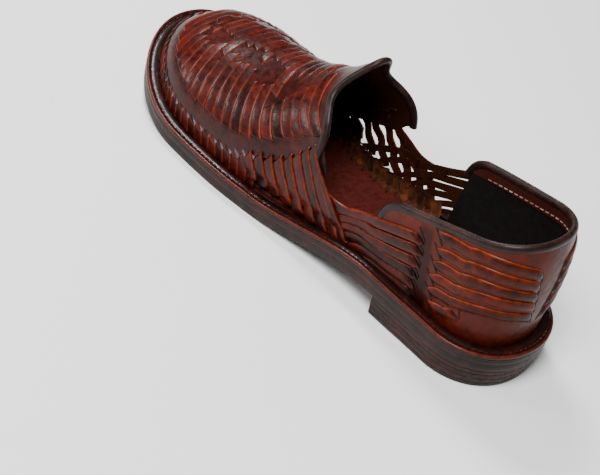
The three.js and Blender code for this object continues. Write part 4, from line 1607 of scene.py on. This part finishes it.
        # Painted shade: a thin strip in the black lining's finish lies on the counter where each
        # slit is.
        hide = Hide("painted_slit_shadows")
        marks: list[tuple[float, float, float, float]] = []
        for run in self.rib_runs:
            for s, z, ahead in ((*run[0], -0.012), (*run[-1], 0.0)):
                marks.append((s - 0.014 + ahead, z + 3.6, s + 0.03 + ahead, z - 3.6))
        marks[-1] = (2.14, 40.0, 2.18, 34.0)
        for s, z in self.strap_slits:
            marks.append((s, z + 2.4, s + 0.036, z - 2.8))
        marks += [(2.9, 31.5, 2.94, 30.6), (1.985, 25.0, 1.99, 23.6)]
        for side in Side:
            for s0, z0, s1, z1 in marks:
                run = ((s0, z0), ((s0 + s1) / 2, (z0 + z1) / 2), (s1, z1))
                points, normals = self._on_quarter(run, side, 0.3)
                lay_strap(hide, points, normals, Cut(width=0.9, thick=0.16, point=(1.5, 1.5)))
        return hide

    def facing_stitches(self) -> Hide:
        """Light stitch row inside the collar, below the top line."""
        hide = Hide("collar_stitches")
        points, normals = self._inside_line(5.0, -0.75)
        lay_stitches(hide, points, -normals, 3.6, 2.3, 0.7)
        return hide

    def _inside_line(self, down: float, offset: float) -> tuple[Array, Array]:
        """Line inside the collar at a distance below the top edge, as points and normals."""
        points, normals = [], []
        front = float(self.last.station(self.front - 8))
        stations = np.concatenate([np.linspace(front, 2, 40)[:-1], np.linspace(2, 2.999, 40)])
        for side in Side:
            s = stations if side > 0 else stations[::-1][1:]
            t = self.last.level(s, side, self.top(s, side) - down)
            points.append(self.last.skin(s, side, t, offset))
            normals.append(self.last.normal(s, side, t))
        return np.concatenate(points), np.concatenate(normals)

    def build(self) -> list[bpy.types.Object]:
        """Makes every piece of the counter."""
        shell = self.sheet("heel_counter_shell", 0.8, self.last.wall)
        shell = shell.build("counter_leather", COUNTER)
        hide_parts("heel_counter")
        return [
            shell,
            self.sheet("counter_lining", *self.lining).build("counter_leather", LINING),
            self.sheet("collar_facing", *self.facing, bottom=0.86).build("counter_leather", FACING),
            self.ribs().build("counter_leather", RIB),
            self.slits().build("counter_leather", LINING),
            self.facing_stitches().build("counter_leather", THREAD),
        ]


# ---------------------------------------------------------------- bindings


@dataclass(frozen=True)
class Bindings:
    """Rolled calf bindings: over the throat's edge, with two loose ends, and on the collar."""

    last: Last = LAST
    flat: Unrolled = VAMP
    upper: Upper = Upper()
    counter: HeelCounter = HeelCounter()
    thick: float = 3.7
    deep: float = 5.0
    out: float = 1.7

    def _roll(self, hide: Hide, points: Array, normals: Array, towards: Array, deep: float) -> None:
        """Rolls a binding over an edge.

        Args:
            hide: the mesh that takes it.
            points: the edge in the middle of the wall.
            normals: the wall's normals there.
            towards: the rough direction off the edge at each point.
            deep: how deep it reaches across the edge.
        """
        along = unit(np.gradient(points, axis=0))
        away = unit(np.cross(along, normals))
        away = np.where((np.sum(away * towards, 1) < 0)[:, None], -away, away)
        lay_tube(hide, points + away * self.out, normals, deep, self.thick, sides=14, tint=0.5)

    def throat(self) -> Hide:
        """Binding over the throat's edge."""
        hide = Hide("throat_roll")
        points, normals = [], []
        for side in Side:
            t = np.linspace(self.upper.throat_foot(side), 1, 34)
            t = t if side > 0 else t[::-1][1:]
            s = self.last.station(self.flat.leaning(np.full(len(t), self.flat.throat), t, side))
            points.append(self.last.skin(s, side, t, self.last.wall / 2))
            normals.append(self.last.normal(s, side, t))
        points, normals = np.concatenate(points), np.concatenate(normals)
        back = np.tile([-1.0, 0.0, 0.0], (len(points), 1))
        self._roll(hide, points, normals, back, self.deep)
        return hide

    def tails(self) -> Hide:
        """Two loose ends of the throat binding, hanging inside the outer wall."""
        hide = Hide("throat_binding_tails")
        places = ((1.392, 0.52), (1.407, 0.48), (1.427, 0.427), (1.45, 0.343), (1.473, 0.287),
                  (1.494, 0.235))
        s, t = (np.array(c) for c in zip(*places))
        for ahead, inside in ((-0.03, 0.6), (-0.011, 1.6)):
            points = self.last.skin(s + ahead, Side.OUTER, t + ahead * 0.9, -inside)
            normals = self.last.normal(s + ahead, Side.OUTER, t)
            lay_strap(hide, points, normals, Cut(width=3.9, thick=1.3, tint=0.6, crown=0.4,
                                                 taper=(0.9, 1.05)))
        return hide

    def collar(self) -> Hide:
        """Binding along the counter's front corners and top line."""
        hide = Hide("collar_roll")
        front = float(self.last.station(self.counter.front))
        heights = np.linspace(0.74, 1, 18)
        stations = np.concatenate([np.linspace(front, 2, 40)[1:-1], np.linspace(2, 2.999, 36)])
        points, normals, towards = [], [], []
        for side in Side:
            q, t = self.counter.place(np.full(len(heights), front), side, heights)
            r, u = self.counter.place(stations, side, np.ones(len(stations)))
            s_all = np.concatenate([q, r])
            t_all = np.concatenate([t, u])
            away = np.concatenate([np.tile([1.0, 0.0, 0.9], (len(q), 1)),
                                   np.tile([0.0, 0.0, 1.0], (len(r), 1))])
            if side < 0:
                s_all, t_all, away = s_all[::-1][1:], t_all[::-1][1:], away[::-1][1:]
            points.append(self.last.skin(s_all, side, t_all, self.last.wall / 2 - 0.2))
            normals.append(self.last.normal(s_all, side, t_all))
            towards.append(away)
        self._roll(hide, np.concatenate(points), np.concatenate(normals), np.concatenate(towards),
                   self.deep + 0.2)
        return hide

    def build(self) -> list[bpy.types.Object]:
        """Makes both bindings."""
        throat = self.throat().build("binding_leather", BINDING)
        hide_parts("throat_binding")
        tails = self.tails().build("binding_leather", BINDING)
        collar = self.collar().build("binding_leather", BINDING)
        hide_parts("collar_binding")
        return [throat, tails, collar]


# ---------------------------------------------------------------- studio


@dataclass(frozen=True)
class Studio:
    """Pale floor, soft boxes and the camera that looks down on the shoe's outer side.

    The camera looks at the target, in millimetres of the last's frame, from a distance along
    its azimuth and elevation, and is rolled about its own axis. A soft box is its name, its
    place in metres, its size in metres and its power in watts.
    """

    azimuth: float = 125.885
    elevation: float = 39.905
    roll: float = 19.16
    target: tuple[float, float, float] = (155.277, 5.102, -28.909)
    distance: float = 913.88
    sensor: float = 36.0
    lens: float = 97.5576
    sky: float = 0.17
    floor_size: float = 12.0
    boxes: tuple[tuple[str, tuple[float, float, float], float, float], ...] = (
        ("key_box", (-0.2, 0.75, 1.5), 0.8, 41.0),
        ("top_box", (0.75, -0.25, 1.15), 0.32, 15.0),
        ("toe_box", (0.9, 0.9, 0.6), 0.3, 6.0),
    )

    def camera(self) -> None:
        """Makes the camera and gives it to the scene."""
        az, el, roll = (math.radians(v) for v in (self.azimuth, self.elevation, self.roll))
        back = Vector((math.cos(el) * math.cos(az), math.cos(el) * math.sin(az), math.sin(el)))
        eye = Vector(to_frame(np.array(self.target))) + back * self.distance / 1000
        right = (-back).cross(Vector((0, 0, 1))).normalized()
        up = right.cross(-back)
        turned = right * math.cos(roll) + up * math.sin(roll)
        upright = up * math.cos(roll) - right * math.sin(roll)
        data = bpy.data.cameras.new("camera")
        data.sensor_width = self.sensor
        data.lens = self.lens
        data.clip_end = 20.0
        camera = bpy.data.objects.new("camera", data)
        pose = Matrix((turned, upright, back)).transposed().to_4x4()
        pose.translation = eye
        camera.matrix_world = pose
        bpy.context.scene.collection.objects.link(camera)
        bpy.context.scene.camera = camera

    def light(
        self, name: str, place: tuple[float, float, float], size: float, power: float
    ) -> None:
        """Adds a soft box that looks at the shoe.

        Args:
            name: its name.
            place: where it hangs, in metres.
            size: its diameter in metres.
            power: its power in watts.
        """
        data = bpy.data.lights.new(name, "AREA")
        data.shape = "DISK"
        data.size = size
        data.energy = power
        lamp = bpy.data.objects.new(name, data)
        lamp.location = place
        ahead = Vector((0.0, 0.0, 0.03)) - Vector(place)
        lamp.rotation_euler = ahead.to_track_quat("-Z", "Y").to_euler()
        bpy.context.scene.collection.objects.link(lamp)

    def floor(self) -> bpy.types.Object:
        """Lays the pale floor that the sole stands on."""
        mesh = bpy.data.meshes.new("floor")
        half = self.floor_size / 2
        corners = [(-half, -half, 0), (half, -half, 0), (half, half, 0), (-half, half, 0)]
        mesh.from_pydata(corners, [], [(0, 1, 2, 3)])
        floor = bpy.data.objects.new("floor", mesh)
        bpy.context.scene.collection.objects.link(floor)
        # Uncoated paper, rolled out: near white and dull, with faint clouds of its fibres.
        paper = bpy.data.materials.new("matt_white_paper")
        paper.use_nodes = True
        tree = paper.node_tree
        fibres = add_node(tree, "ShaderNodeTexNoise", None, {"Scale": per_metre(40), "Detail": 3.0})
        tone = add_node(tree, "ShaderNodeValToRGB", None, {"Fac": fibres.outputs["Fac"]},
                        ((0.3, dye("#f6f6f5")), (0.7, dye("#fbfbfa"))))
        shader = tree.nodes["Principled BSDF"]
        shader.inputs["Roughness"].default_value = 0.9
        tree.links.new(tone.outputs["Color"], shader.inputs["Base Color"])
        mesh.materials.append(paper)
        return floor

    def build(self) -> list[bpy.types.Object]:
        """Makes the floor, the sky, the lights and the camera."""
        floor = self.floor()
        world = bpy.data.worlds.new("studio")
        world.use_nodes = True
        sky = world.node_tree.nodes["Background"]
        sky.inputs[0].default_value = (1.0, 1.0, 1.0, 1.0)
        sky.inputs[1].default_value = self.sky
        bpy.context.scene.world = world
        for box in self.boxes:
            self.light(*box)
        self.camera()
        return [floor]


def main() -> None:
    """Builds the shoe and the studio in order and reports each piece."""
    logging.basicConfig(level=logging.INFO, format="%(name)s: %(message)s")
    for assembly in (Sole(), Upper(), HeelCounter(), Bindings(), Studio()):
        for piece in assembly.build():
            log.info("%s: %s", type(assembly).__name__, piece.name)


if __name__ == "__main__":
    main()
